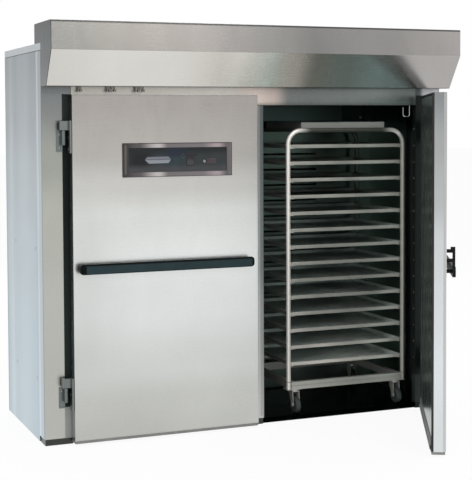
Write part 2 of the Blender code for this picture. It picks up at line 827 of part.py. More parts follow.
def make_walls():
    """Insulated walls. Each side and the rear are two panels locked together at a visible seam."""
    z_span = (PANEL_FLOOR_GAP, ROOF_BOTTOM - FIT)
    seam_span = (PANEL_FLOOR_GAP - OVERRUN, ROOF_BOTTOM + OVERRUN)
    start = FRONT + POST_DEPTH + FIT
    for side, word in SIDE_NAMES.items():
        x_span = (from_side(side, 0), from_side(side, PANEL_THICKNESS))
        wall = box(word + "_side_wall", x_span, (start, BACK), z_span, PANEL_EDGE_BEVEL)
        groove = seam("X", BACK - SIDE_SEAM_FROM_BACK, from_side(side, 0), seam_span)
        keep(cut(wall, groove), "side_steel")
    reach = BODY_WIDTH / 2 - PANEL_THICKNESS - FIT
    rear = box("rear_wall", (-reach, reach), (REAR_WALL_Y, BACK), z_span, PANEL_EDGE_BEVEL)
    keep(cut(rear, seam("Y", 0, BACK, seam_span)), "side_steel")
    roof = box(
        "roof_panel", (from_side(-1, 0), from_side(1, 0)), (FRONT, BACK),
        (ROOF_BOTTOM, BODY_HEIGHT), PANEL_EDGE_BEVEL)
    keep(roof, "side_steel")


# Hood

def hood_profile():
    """The hood's outer line from the roof behind, over the top, down the face and back to the header."""
    corners = (
        (HOOD_BACK_Y, BODY_HEIGHT + FIT),
        (HOOD_BACK_Y, HOOD_TOP),
        (FRONT - HOOD_PROJECTION, HOOD_TOP),
        (FRONT - HOOD_PROJECTION, HOOD_CREASE),
        (FRONT - HOOD_LOWER_PROJECTION, HOOD_LOWER),
        (FRONT - FIT, HOOD_LOWER),
    )
    spatial = [(0, y, z) for y, z in corners]
    bends = (HOOD_TOP_BEND, HOOD_TOP_BEND, HOOD_CREASE_BEND, HOOD_CREASE_BEND)
    profile = [corners[0]]
    for index, bend in enumerate(bends):
        run = rounded_path(spatial[index:index + 3], bend, SMALL_ARC_STEPS)
        profile += [(point.y, point.z) for point in run[1:-1]]
    profile.append(corners[-1])
    return profile


def inset_line(points, distance):
    """An open line of 2-D points moved sideways to the left of its own direction."""
    moved = []
    for index, point in enumerate(points):
        here = Vector(point)
        before = Vector(points[max(index - 1, 0)])
        after = Vector(points[min(index + 1, len(points) - 1)])
        normals = []
        for start, end in ((before, here), (here, after)):
            if (end - start).length > 0:
                run = (end - start).normalized()
                normals.append(Vector((-run.y, run.x)))
        middle = sum(normals, Vector((0, 0))).normalized()
        moved.append(tuple(here + middle * (distance / middle.dot(normals[0]))))
    return moved


def make_hood():
    """Hood over the doors: a folded sheet with welded ends, open towards the roof and the header."""
    profile = hood_profile()
    sheet = folded_sheet("hood_shell", profile, (from_side(-1, 0), from_side(1, 0)), HOOD_SHEET)
    hole = rod("gland_hole", GLAND_THREAD_RADIUS + SHAFT_CLEARANCE, (-OVERRUN, OVERRUN))
    move(hole, (from_side(1, GLAND_FROM_SIDE), HOOD_BACK_Y, BODY_HEIGHT + GLAND_HEIGHT), along_y())
    inner = inset_line(profile, HOOD_SHEET / 2)
    corner = [(FRONT - FIT, BODY_HEIGHT + FIT)]
    ends = [
        plate("end", "YZ", inner + corner, (from_side(side, FIT), from_side(side, HOOD_SHEET)))
        for side in SIDE_NAMES]
    shell = unite(cut(sheet, hole), join("ends", ends), make_hood_clips())
    keep(shell, "hood_steel")


def make_hood_clips():
    """Small J clips that hang from the hood's lower flange: one, then two pairs."""
    top = HOOD_LOWER + HOOD_SHEET / 2
    bottom = HOOD_LOWER - HOOD_CLIP_HEIGHT
    back = FRONT - HOOD_CLIP_SETBACK
    front = back - HOOD_CLIP_REACH
    lip = bottom + HOOD_CLIP_HEIGHT / 2
    outline = (
        (back, top),
        (back, bottom),
        (front, bottom),
        (front, lip),
        (front + HOOD_CLIP_SHEET, lip),
        (front + HOOD_CLIP_SHEET, bottom + HOOD_CLIP_SHEET),
        (back - HOOD_CLIP_SHEET, bottom + HOOD_CLIP_SHEET),
        (back - HOOD_CLIP_SHEET, top),
    )
    first_pair = HOOD_CLIP_FIRST + HOOD_CLIP_PAIR_PITCH
    second_pair = first_pair + HOOD_CLIP_PAIR_PITCH
    places = (
        HOOD_CLIP_FIRST,
        first_pair, first_pair + HOOD_CLIP_PAIR_SPACING,
        second_pair, second_pair + HOOD_CLIP_PAIR_SPACING,
    )
    half = HOOD_CLIP_WIDTH / 2
    return join("clips", [
        plate("clip", "YZ", outline, (from_side(-1, place - half), from_side(-1, place + half)))
        for place in places])


# Air system and electrics

def discharge_cutter(z):
    """Slot behind the duct panel through which the plenum blows down, cut at one height."""
    reach = PLENUM_WIDTH / 2 - DISCHARGE_MARGIN
    rear = REAR_WALL_Y - DISCHARGE_REAR_RIM
    return box("discharge", (-reach, reach), (rear - DISCHARGE_DEPTH, rear), (z - OVERRUN, z + OVERRUN))


def make_plenum():
    half = PLENUM_WIDTH / 2
    plenum = open_pan(
        "ceiling_plenum", (-half, half), (PLENUM_FRONT_Y, REAR_WALL_Y - FIT),
        (PLENUM_BOTTOM, ROOF_BOTTOM - FIT), (0, 0, 1), PLENUM_SHEET)
    z_span = (PLENUM_BOTTOM - OVERRUN, PLENUM_BOTTOM + OVERRUN)
    slots = []
    for index in range(INTAKE_SLOT_COUNT):
        x = (index - (INTAKE_SLOT_COUNT - 1) / 2) * INTAKE_SLOT_PITCH
        x_slot = (x - INTAKE_SLOT_WIDTH / 2, x + INTAKE_SLOT_WIDTH / 2)
        slots.append(box("slot", x_slot, (-INTAKE_SLOT_LENGTH / 2, INTAKE_SLOT_LENGTH / 2), z_span))
    keep(cut(plenum, join("slots", slots), discharge_cutter(PLENUM_BOTTOM)), "liner_steel")


def make_duct_panel():
    """False rear wall, folded back over the duct, with a row of louvres for each rack level in each bay."""
    reach = BODY_WIDTH / 2 - PANEL_THICKNESS - FIT
    top = PLENUM_BOTTOM - FIT
    profile = ((REAR_WALL_Y - FIT, top), (DUCT_Y, top), (DUCT_Y, FLOOR_THICKNESS + FIT))
    panel = folded_sheet("rear_duct_panel", profile, (-reach, reach), DUCT_SHEET)
    bay_centre = (MULLION_WIDTH / 2 + BODY_WIDTH / 2 - OPENING_EDGE) / 2
    slots = []
    blades = []
    for side in SIDE_NAMES:
        x_span = (side * bay_centre - LOUVRE_LENGTH / 2, side * bay_centre + LOUVRE_LENGTH / 2)
        for row in range(RACK_LEVELS):
            high = FIRST_RUNNER + row * RACK_PITCH - LOUVRE_BELOW_RUNNER
            through = (DUCT_Y - OVERRUN, DUCT_Y + OVERRUN)
            slots.append(box("slot", x_span, through, (high - LOUVRE_SLOT, high)))
            outline = (
                (DUCT_Y + DUCT_SHEET / 2, high - LOUVRE_SHEET),
                (DUCT_Y + DUCT_SHEET / 2, high + LOUVRE_SHEET),
                (DUCT_Y, high + LOUVRE_SHEET),
                (DUCT_Y - LOUVRE_REACH, high - LOUVRE_DROP),
                (DUCT_Y - LOUVRE_REACH, high - LOUVRE_DROP - LOUVRE_SHEET),
                (DUCT_Y, high - LOUVRE_SHEET),
            )
            blades.append(plate("blade", "YZ", outline, shrink(x_span, -LOUVRE_SHEET)))
    cut(panel, join("slots", slots), discharge_cutter(top))
    keep(unite(panel, join("blades", blades)), "liner_steel")


def make_blower():
    top = ROOF_BOTTOM - FIT
    bottom = top - MOTOR_HEIGHT
    boss = bottom - MOTOR_BOSS
    bore = SHAFT_RADIUS + SHAFT_CLEARANCE
    bore_top = boss + SHAFT_INSERT + SHAFT_CLEARANCE
    motor = turned("blower_motor", (
        (0, top),
        (MOTOR_FLANGE_RADIUS, top),
        (MOTOR_FLANGE_RADIUS, top - MOTOR_FLANGE),
        (MOTOR_RADIUS, top - MOTOR_FLANGE),
        (MOTOR_RADIUS, bottom),
        (MOTOR_BOSS_RADIUS, bottom),
        (MOTOR_BOSS_RADIUS, boss),
        (bore, boss),
        (bore, bore_top),
        (0, bore_top),
    ))
    keep(shade_round(motor), "motor_paint")

    plate_top = boss - WHEEL_GAP
    wheel_bottom = plate_top - WHEEL_HEIGHT
    hub_bottom = plate_top - WHEEL_HUB_HEIGHT
    wheel = turned("blower_wheel", (
        (0, boss + SHAFT_INSERT),
        (SHAFT_RADIUS, boss + SHAFT_INSERT),
        (SHAFT_RADIUS, plate_top),
        (WHEEL_RADIUS, plate_top),
        (WHEEL_RADIUS, plate_top - WHEEL_PLATE),
        (WHEEL_HUB_RADIUS, plate_top - WHEEL_PLATE),
        (WHEEL_HUB_RADIUS, hub_bottom),
        (0, hub_bottom),
    ))
    ring = turned("ring", (
        (WHEEL_EYE_RADIUS, wheel_bottom + WHEEL_PLATE),
        (WHEEL_RADIUS, wheel_bottom + WHEEL_PLATE),
        (WHEEL_RADIUS, wheel_bottom),
        (WHEEL_EYE_RADIUS, wheel_bottom),
        (WHEEL_EYE_RADIUS, wheel_bottom + WHEEL_PLATE),
    ))
    blades = [make_blade(index, (wheel_bottom, plate_top)) for index in range(BLADE_COUNT)]
    keep(unite(wheel, ring, join("blades", blades)), "hood_steel")


def make_blade(index, z_span):
    """One backward-swept blade, whose ends sink into the wheel's plate and ring."""
    inner = WHEEL_EYE_RADIUS + BLADE_SHEET
    outer = WHEEL_RADIUS - BLADE_SHEET
    start = 2 * math.pi * index / BLADE_COUNT
    line = []
    for step in range(SMALL_ARC_STEPS + 1):
        share = step / SMALL_ARC_STEPS
        radius = inner + (outer - inner) * share
        angle = start + BLADE_SWEEP * share
        line.append(Vector((radius * math.cos(angle), radius * math.sin(angle))))
    low, high = z_span
    inset = WHEEL_PLATE / 2
    return plate("blade", "XY", thick_line(line, BLADE_SHEET), (low + inset, high - inset))


def thick_line(points, thickness):
    """The outline of a strip of even thickness along an open line of 2-D points."""
    left = inset_line(points, thickness / 2)
    right = inset_line(points, -thickness / 2)
    return left + right[::-1]


def make_air_heater():
    """Serpentine heater element, hung by its two ends from the ceiling over the intake."""
    top = ROOF_BOTTOM - FIT
    z = PLENUM_BOTTOM + ELEMENT_HEIGHT
    first_y = FRONT + ELEMENT_FRONT
    corners = [(-ELEMENT_HALF_LENGTH, first_y, top), (-ELEMENT_HALF_LENGTH, first_y, z)]
    for run in range(ELEMENT_PASSES):
        x = ELEMENT_HALF_LENGTH if run % 2 == 0 else -ELEMENT_HALF_LENGTH
        y = first_y + run * ELEMENT_PITCH
        corners.append((x, y, z))
        if run < ELEMENT_PASSES - 1:
            corners.append((x, y + ELEMENT_PITCH, z))
    corners.append((corners[-1][0], corners[-1][1], top))
    heater = tube("air_heater", rounded_path(corners, ELEMENT_BEND, SMALL_ARC_STEPS), ELEMENT_RADIUS, 1)
    keep(heater, "element_steel")


def make_humidifier():
    """Water pan on the plenum's floor, with the immersion element that boils it through its rear wall."""
    left = -PLENUM_WIDTH / 2 + HUMIDIFIER_SIDE_GAP
    right = left + HUMIDIFIER_WIDTH
    near = PLENUM_FRONT_Y + HUMIDIFIER_FRONT_GAP
    far = near + HUMIDIFIER_DEPTH
    low = PLENUM_BOTTOM + PLENUM_SHEET + FIT
    pan = open_pan(
        "humidifier_pan", (left, right), (near, far), (low, low + HUMIDIFIER_HEIGHT), (0, 0, 1),
        HUMIDIFIER_SHEET)
    z = low + IMMERSION_HEIGHT
    corners = (
        (left + IMMERSION_MARGIN, far + TERMINAL_LENGTH, z),
        (left + IMMERSION_MARGIN, near + IMMERSION_MARGIN, z),
        (right - IMMERSION_MARGIN, near + IMMERSION_MARGIN, z),
        (right - IMMERSION_MARGIN, far + TERMINAL_LENGTH, z))
    element = tube("immersion", rounded_path(corners, ELEMENT_BEND, SMALL_ARC_STEPS), ELEMENT_RADIUS, 1)
    keep(unite(pan, element), "tray_steel")


def make_electrics():
    y_low = FRONT + BOX_SETBACK
    z_low = BODY_HEIGHT + FIT
    housing = box(
        "electrical_box", (-BOX_WIDTH / 2, BOX_WIDTH / 2), (y_low, y_low + BOX_DEPTH),
        (z_low, z_low + BOX_HEIGHT), BOX_BEVEL)
    keep(housing, "motor_paint")
    gland = turned("power_gland", (
        (0, GLAND_HEAD_LENGTH + GLAND_DOME_LENGTH),
        (GLAND_MOUTH_RADIUS, GLAND_HEAD_LENGTH + GLAND_DOME_LENGTH),
        (GLAND_HEAD_RADIUS - GLAND_MOUTH_RADIUS / 2, GLAND_HEAD_LENGTH),
        (GLAND_HEAD_RADIUS, GLAND_HEAD_LENGTH),
        (GLAND_HEAD_RADIUS, 0),
        (GLAND_THREAD_RADIUS, 0),
        (GLAND_THREAD_RADIUS, -GLAND_THREAD_LENGTH),
        (0, -GLAND_THREAD_LENGTH),
    ), SMALL_ROUND_STEPS)
    place = (from_side(1, GLAND_FROM_SIDE), HOOD_BACK_Y + FIT, BODY_HEIGHT + GLAND_HEIGHT)
    keep(shade_round(move(gland, place, along_y())), "black_plastic")


# Doors

def door_spans(side):
    """The door leaf's X and Z spans when it is closed."""
    x_span = (from_side(side, DOOR_EDGE), side * DOOR_MEETING_GAP / 2)
    return x_span, (DOOR_BOTTOM, DOOR_TOP)


def shrink(span, amount):
    low, high = sorted(span)
    return low + amount, high - amount


def raise_field(work, face_side, margin, height):
    """Step one Y face of a box outwards, inside a margin."""
    faces = [face for face in work.faces if face.normal.y * face_side > 0.5]
    bmesh.ops.inset_region(work, faces=faces, thickness=margin, use_even_offset=True)
    raised = bmesh.ops.extrude_face_region(work, geom=faces)["geom"]
    bmesh.ops.delete(work, geom=faces, context="FACES_ONLY")
    moved = [item for item in raised if isinstance(item, bmesh.types.BMVert)]
    bmesh.ops.translate(work, vec=Vector((0, face_side * height, 0)), verts=moved)


def make_door_leaf(side, word):
    """The outer skin, a shallow pan, and the foam-filled inner panel bonded into it."""
    x_span, z_span = door_spans(side)
    seam_y = DOOR_FRONT_Y + DOOR_SKIN_RETURN
    skin = open_pan(
        word + "_door_skin", x_span, (DOOR_FRONT_Y, seam_y), z_span, (0, 1, 0), DOOR_SHEET,
        DOOR_SKIN_BEND)
    keep(skin, "brushed_steel")
    inner = box(word + "_door_inner_panel", x_span, (seam_y + FIT, DOOR_SEAT_Y), z_span)
    work = bmesh.new()
    work.from_mesh(inner.data)
    raise_field(work, 1, DOOR_FIELD_MARGIN, DOOR_FIELD_RAISE)
    raise_field(work, -1, DOOR_CORE_MARGIN, DOOR_SKIN_RETURN - DOOR_CORE_MARGIN)
    work.to_mesh(inner.data)
    work.free()
    keep(inner, "liner_steel")
    return [skin, inner]


def make_gasket(side, word):
    """Bulb gasket round the door's hinge, top and meeting edges. The sweep closes the fourth."""
    x_span, z_span = door_spans(side)
    left, right = shrink(x_span, GASKET_SETBACK)
    inner_left, inner_right = shrink(x_span, GASKET_SETBACK + GASKET_WIDTH)
    top = z_span[1] - GASKET_SETBACK
    bottom = z_span[0] + GASKET_SETBACK
    outline = (
        (left, bottom), (left, top), (right, top), (right, bottom), (inner_right, bottom),
        (inner_right, top - GASKET_WIDTH), (inner_left, top - GASKET_WIDTH), (inner_left, bottom))
    gasket = plate(word + "_door_gasket", "XZ", outline, (DOOR_SEAT_Y + FIT, FRONT - FIT))
    return [keep(round_edges(gasket, GASKET_BEVEL, 1), "dark_rubber")]


def make_sweep(side, word):
    """The channel under the door and the curved rubber flap that hangs from its inner edge."""
    x_span, z_span = door_spans(side)
    top = z_span[0] - FIT
    start = DOOR_BACK_Y + FIT + FLAP_THICKNESS / 2
    sweep = box(
        word + "_door_sweep", shrink(x_span, SWEEP_EDGE), (DOOR_FRONT_Y + SWEEP_EDGE, start),
        (top - SWEEP_HEIGHT, top))
    knee = FLAP_TOP - FLAP_STRAIGHT
    low = FLAP_FLOOR_GAP + FLAP_THICKNESS / 2
    line = [(start, FLAP_TOP)]
    for step in range(ARC_STEPS + 1):
        share = step / ARC_STEPS
        y = start + FLAP_BULGE * math.sin(share * math.pi) - FLAP_TUCK * share ** 2
        line.append((y, knee + (low - knee) * share))
    edges = (
        from_side(side, OPENING_EDGE + FLAP_SIDE_CLEARANCE),
        side * (MULLION_WIDTH / 2 + FLAP_SIDE_CLEARANCE))
    flap = plate("flap", "YZ", thick_line(line, FLAP_THICKNESS), edges)
    return [keep(unite(sweep, flap), "grey_rubber")]


def make_handle(side, word):
    """The long bar across the door on three standoffs. The right one carries a short upright pull."""
    back = DOOR_FRONT_Y - HANDLE_STANDOFF
    hinge_end = from_side(side, DOOR_EDGE + HANDLE_HINGE_INSET)
    meeting_end = side * (DOOR_MEETING_GAP / 2 + HANDLE_MEETING_INSET)
    low, high = HANDLE_CENTRE - HANDLE_HEIGHT / 2, HANDLE_CENTRE + HANDLE_HEIGHT / 2
    corners = ((hinge_end, low), (meeting_end, low), (meeting_end, high), (hinge_end, high))
    outline = rounded_path(corners, HANDLE_END_RADIUS, closed=True)
    bar = plate(word + "_door_handle", "XZ", outline, (back - HANDLE_THICKNESS, back))
    round_edges(bar, HANDLE_EDGE, SMALL_ARC_STEPS)
    first = hinge_end - side * HANDLE_POST_INSET
    last = meeting_end + side * HANDLE_POST_INSET
    posts = []
    for index in range(HANDLE_POST_COUNT):
        x = first + (last - first) * index / (HANDLE_POST_COUNT - 1)
        post = rod("post", HANDLE_POST_RADIUS, (-HANDLE_THICKNESS / 2, HANDLE_STANDOFF - FIT))
        posts.append(move(post, (x, back, HANDLE_CENTRE), along_y()))
    unite(bar, join("posts", posts))
    if side > 0:
        unite(bar, make_pull())
    return [keep(bar, "handle_plastic")]


def make_pull():
    """An upright that rises from the bar on two posts of its own, with a thicker head."""
    back = DOOR_FRONT_Y - FIT
    bar_back = DOOR_FRONT_Y - HANDLE_STANDOFF
    bar_front = bar_back - HANDLE_THICKNESS
    high_post = PULL_TOP - PULL_HEAD
    half = PULL_POST_HEIGHT / 2
    outline = (
        (bar_front + HINGE_EDGE, HANDLE_CENTRE),
        (bar_back, HANDLE_CENTRE),
        (bar_back, PULL_LOW_POST - half),
        (back, PULL_LOW_POST - half),
        (back, PULL_LOW_POST + half),
        (bar_back, PULL_LOW_POST + half),
        (bar_back, high_post - half),
        (back, high_post - half),
        (back, high_post + half),
        (bar_front + PULL_HEAD_DEPTH, high_post + half),
        (bar_front + PULL_HEAD_DEPTH, PULL_TOP),
        (bar_front + HINGE_EDGE, PULL_TOP),
    )
    x = DOOR_MEETING_GAP / 2 + PULL_INSET
    return plate("pull", "YZ", outline, (x, x + PULL_WIDTH))


def hinge_tops():
    return DOOR_BOTTOM + HINGE_ABOVE_DOOR_BOTTOM, DOOR_TOP - HINGE_BELOW_DOOR_TOP


def make_hinge_straps(side, word):
    """Door halves of the hinges: a strap on the door's edge with an arm that sits over the pin."""
    pin_x = from_side(side, POST_WIDTH)
    edge_x = from_side(side, DOOR_EDGE - FIT)
    straps = []
    for place, top in zip(("lower", "upper"), hinge_tops()):
        arm_bottom = top - HINGE_ARM_HEIGHT
        y_low = DOOR_FRONT_Y + HINGE_STRAP_SETBACK
        strap = box(
            word + "_door_" + place + "_hinge_strap",
            (edge_x, from_side(side, DOOR_EDGE - FIT - HINGE_STRAP_THICKNESS)),
            (y_low, y_low + HINGE_STRAP_WIDTH), (top - HINGE_STRAP_LENGTH, top), HINGE_EDGE)
        arm = box(
            "arm", (pin_x + side * HINGE_ARM_OVERHANG, edge_x + side * HINGE_EDGE),
            (PIN_Y - HINGE_ARM_DEPTH / 2, PIN_Y + HINGE_ARM_DEPTH / 2),
            (arm_bottom, top - HINGE_EDGE), HINGE_EDGE)
        bore = rod("bore", PIN_RADIUS + PIN_CLEARANCE, (arm_bottom - OVERRUN, top - HINGE_ARM_ROOF))
        move(bore, (pin_x, PIN_Y, 0))
        straps.append(keep(cut(unite(strap, arm), bore), "hinge_steel"))
    return straps


# Control panel

def make_control_panel():
    x = -DOOR_MEETING_GAP / 2 - PANEL_FROM_MEETING
    centre = Vector((x, DOOR_FRONT_Y, DOOR_TOP - PANEL_BELOW_DOOR_TOP))
    back = centre.y - FIT
    x_half = BEZEL_WIDTH / 2
    z_half = BEZEL_HEIGHT / 2
    outer_x = (centre.x - x_half, centre.x + x_half)
    outer_z = (centre.z - z_half, centre.z + z_half)
    window_x = shrink(outer_x, BEZEL_SIDE_BORDER)
    window_z = shrink(outer_z, BEZEL_TOP_BORDER)
    bezel = box("control_bezel", outer_x, (back - BEZEL_DEPTH, back), outer_z, BEZEL_BEVEL)
    window = box("window", window_x, (back - BEZEL_DEPTH - OVERRUN, back + OVERRUN), window_z)
    keep(cut(bezel, window), "brushed_steel")

    power = centre + Vector((POWER_KEY_OFFSET, 0, -POWER_KEY_DROP))
    start = centre + Vector((START_KEY_OFFSET, 0, -START_KEY_DROP))
    start_x = (start.x - START_KEY_WIDTH / 2, start.x + START_KEY_WIDTH / 2)
    start_z = (start.z - START_KEY_HEIGHT / 2, start.z + START_KEY_HEIGHT / 2)
    face = box(
        "control_face", shrink(window_x, FIT), (back - FACE_THICKNESS, back), shrink(window_z, FIT))
    hole = rod("hole", POWER_KEY_RADIUS + KEY_CLEARANCE, (-OVERRUN, OVERRUN))
    move(hole, power, along_y())
    slot = box(
        "slot", shrink(start_x, -KEY_CLEARANCE), (back - OVERRUN, back + OVERRUN),
        shrink(start_z, -KEY_CLEARANCE))
    lamp = turned("lamp", (
        (0, LAMP_HEIGHT), (LAMP_RADIUS / 2, LAMP_HEIGHT), (LAMP_RADIUS, LAMP_HEIGHT / 2),
        (LAMP_RADIUS, -FACE_THICKNESS / 2), (0, -FACE_THICKNESS / 2),
    ), SMALL_ROUND_STEPS)
    front = Matrix.Rotation(math.pi / 2, 4, "X")
    move(lamp, (centre.x + LAMP_OFFSET, back - FACE_THICKNESS, centre.z + LAMP_RISE), front)
    keep(unite(cut(face, hole, slot), lamp), "dark_glass")

    key_back = centre.y - KEY_SKIN_GAP
    power_key = rod("power_key", POWER_KEY_RADIUS, (-KEY_LENGTH, 0))
    move(power_key, (power.x, key_back, power.z), along_y())
    keep(round_edges(power_key, KEY_BEVEL), "white_key")
    start_key = box("start_key", start_x, (key_back - KEY_LENGTH, key_back), start_z, KEY_BEVEL)
    keep(start_key, "red_lens")
    return [bezel, face, power_key, start_key]


def make_doors():
    for side, word in SIDE_NAMES.items():
        pieces = make_door_leaf(side, word)
        pieces += make_gasket(side, word)
        pieces += make_sweep(side, word)
        pieces += make_handle(side, word)
        pieces += make_hinge_straps(side, word)
        if side < 0:
            pieces += make_control_panel()
        axis = empty_at(word + "_door_axis", (from_side(side, POST_WIDTH), PIN_Y, 0))
        carry(axis, pieces)
        if side > 0:
            axis.rotation_euler.z = RIGHT_DOOR_OPEN


# Rack trolley

def runner_levels():
    return [FIRST_RUNNER + level * RACK_PITCH for level in range(RACK_LEVELS)]


def make_hoops():
    top = RACK_HOOP_TOP - RACK_TUBE_RADIUS
    left = RACK_LEFT + RACK_TUBE_RADIUS
    right = RACK_RIGHT - RACK_TUBE_RADIUS
    hoops = []
    for y in (RACK_FRONT + RACK_TUBE_RADIUS, RACK_BACK - RACK_TUBE_RADIUS):
        corners = (
            (left, y, RAIL_BOTTOM + FIT), (left, y, top), (right, y, top), (right, y, RAIL_BOTTOM + FIT))
        hoops.append(tube("hoop", rounded_path(corners, RACK_BEND), RACK_TUBE_RADIUS))
    return join("rack_frame", hoops)


def make_top_channel():
    """Inverted channel between the hoops. Its sides run on to them, and its raised top is set back."""
    centre = (RACK_LEFT + RACK_RIGHT) / 2
    half = (RACK_RIGHT - RACK_LEFT) / 2 - CHANNEL_INSET
    inner = half - CHANNEL_SHEET
    low = RACK_HOOP_TOP - CHANNEL_SIDE_DEPTH
    step = RACK_HOOP_TOP - CHANNEL_STEP
    outline = (
        (centre - half, low), (centre - half, RACK_TOP), (centre + half, RACK_TOP), (centre + half, low),
        (centre + inner, low), (centre + inner, RACK_TOP - CHANNEL_SHEET),
        (centre - inner, RACK_TOP - CHANNEL_SHEET), (centre - inner, low))
    along = shrink((RACK_FRONT, RACK_BACK), 2 * RACK_TUBE_RADIUS - WELD_OVERLAP)
    channel = plate("channel", "XZ", outline, along)
    across = (RACK_LEFT, RACK_RIGHT)
    above = (step, RACK_TOP + OVERRUN)
    front_y = RACK_FRONT + CHANNEL_SETBACK
    rear_y = RACK_BACK - CHANNEL_SETBACK
    reliefs = [box("relief", across, span, above) for span in ((RACK_FRONT, front_y), (rear_y, RACK_BACK))]
    cut(channel, *reliefs)
    ends = [
        box("end", (centre - inner - CHANNEL_SHEET / 2, centre + inner + CHANNEL_SHEET / 2), span,
            (step + CHANNEL_SHEET, RACK_TOP - CHANNEL_SHEET / 2))
        for span in ((front_y + FIT, front_y + CHANNEL_SHEET), (rear_y - CHANNEL_SHEET, rear_y - FIT))]
    return settle(unite(channel, join("ends", ends)))


def make_runners():
    """The angles that carry the trays, welded to the inner sides of the hoops' legs."""
    angles = []
    y_span = shrink((RACK_FRONT, RACK_BACK), RACK_TUBE_RADIUS - WELD_OVERLAP)
    for z in runner_levels():
        for side, wall in ((1, LEG_INNER_LEFT), (-1, LEG_INNER_RIGHT)):
            outer = wall - side * RUNNER_SINK
            outline = (
                (outer, z + RUNNER_LEG),
                (outer, z - RUNNER_SHEET),
                (wall + side * RUNNER_LEG, z - RUNNER_SHEET),
                (wall + side * RUNNER_LEG, z),
                (wall + side * RUNNER_SHEET, z),
                (wall + side * RUNNER_SHEET, z + RUNNER_LEG),
            )
            angles.append(plate("angle", "XZ", outline, y_span))
    return join("angles", angles)


def make_rack_frame():
    """The welded frame: two bent hoops, the channel between their tops, and the runners."""
    frame = make_hoops()
    return keep(unite(frame, make_top_channel(), make_runners()), "rack_steel")


def caster_places():
    """Pivot X and Y of the four casters: front left, front right, rear left, rear right."""
    left = RACK_LEFT + CASTER_INSET
    right = RACK_RIGHT - CASTER_INSET
    near = RACK_FRONT + CASTER_SETBACK
    far = RACK_BACK - CASTER_SETBACK
    return (left, near), (right, near), (left, far), (right, far)


def make_rack_base():
    """Ring of channel bars between the legs, with a plate under each corner that a leg stands on."""
    across = (LEG_INNER_LEFT + FIT, LEG_INNER_RIGHT - FIT)
    along = (RACK_FRONT, RACK_BACK)
    bottom = RAIL_BOTTOM - CASTER_PLATE / 2
    base = box("rack_base", across, along, (bottom, RAIL_TOP))
    window = box(
        "window", shrink(across, RAIL_WIDTH), shrink(along, RAIL_WIDTH),
        (bottom - OVERRUN, RAIL_TOP + OVERRUN))
    middle = RAIL_BOTTOM + RAIL_HEIGHT / 2
    groove = box(
        "groove", shrink(across, -OVERRUN), (RACK_FRONT - OVERRUN, RACK_FRONT + RAIL_GROOVE),
        (middle - RAIL_GROOVE / 2, middle + RAIL_GROOVE / 2))
    cut(base, window, groove)
    plates = []
    for x, y in caster_places():
        outer_x = RACK_LEFT if x < (RACK_LEFT + RACK_RIGHT) / 2 else RACK_RIGHT
        outer_y = RACK_FRONT if y < (RACK_FRONT + RACK_BACK) / 2 else RACK_BACK
        inner_x = x + math.copysign(CASTER_PLATE_HALF, x - outer_x)
        inner_y = y + math.copysign(CASTER_PLATE_HALF, y - outer_y)
        z_span = (CASTER_PLATE_UNDER, RAIL_BOTTOM)
        plates.append(box("plate", (outer_x, inner_x), (outer_y, inner_y), z_span))
    forks = []
    for x, y in caster_places()[2:]:
        forks.append(move(make_fork("fork", 0.0, CASTER_PLATE_UNDER + CASTER_PLATE / 2), (x, y, 0)))
    return keep(unite(base, join("plates", plates), join("forks", forks)), "caster_steel")


def make_trays():
    """Shallow sheet pans with a low flared rim, one on each pair of runners."""
    inset = RUNNER_SHEET + TRAY_SIDE_CLEARANCE
    trays = []
    for number, z in enumerate(runner_levels(), start=1):
        tray = box(
            f"sheet_tray_{number:02d}", (LEG_INNER_LEFT + inset, LEG_INNER_RIGHT - inset),
            (RACK_FRONT + TRAY_SETBACK, RACK_BACK - TRAY_SETBACK), (z + FIT, z + FIT + TRAY_RIM))
        work = bmesh.new()
        work.from_mesh(tray.data)
        lid = [face for face in work.faces if face.normal.z > 0.5]
        bmesh.ops.delete(work, geom=lid, context="FACES_ONLY")
        for vertex in work.verts:
            if vertex.co.z < 0:
                vertex.co.x -= math.copysign(TRAY_FLARE, vertex.co.x)
                vertex.co.y -= math.copysign(TRAY_FLARE, vertex.co.y)
        work.to_mesh(tray.data)
        work.free()
        trays.append(keep(thicken(tray, TRAY_SHEET), "tray_steel"))
    return trays


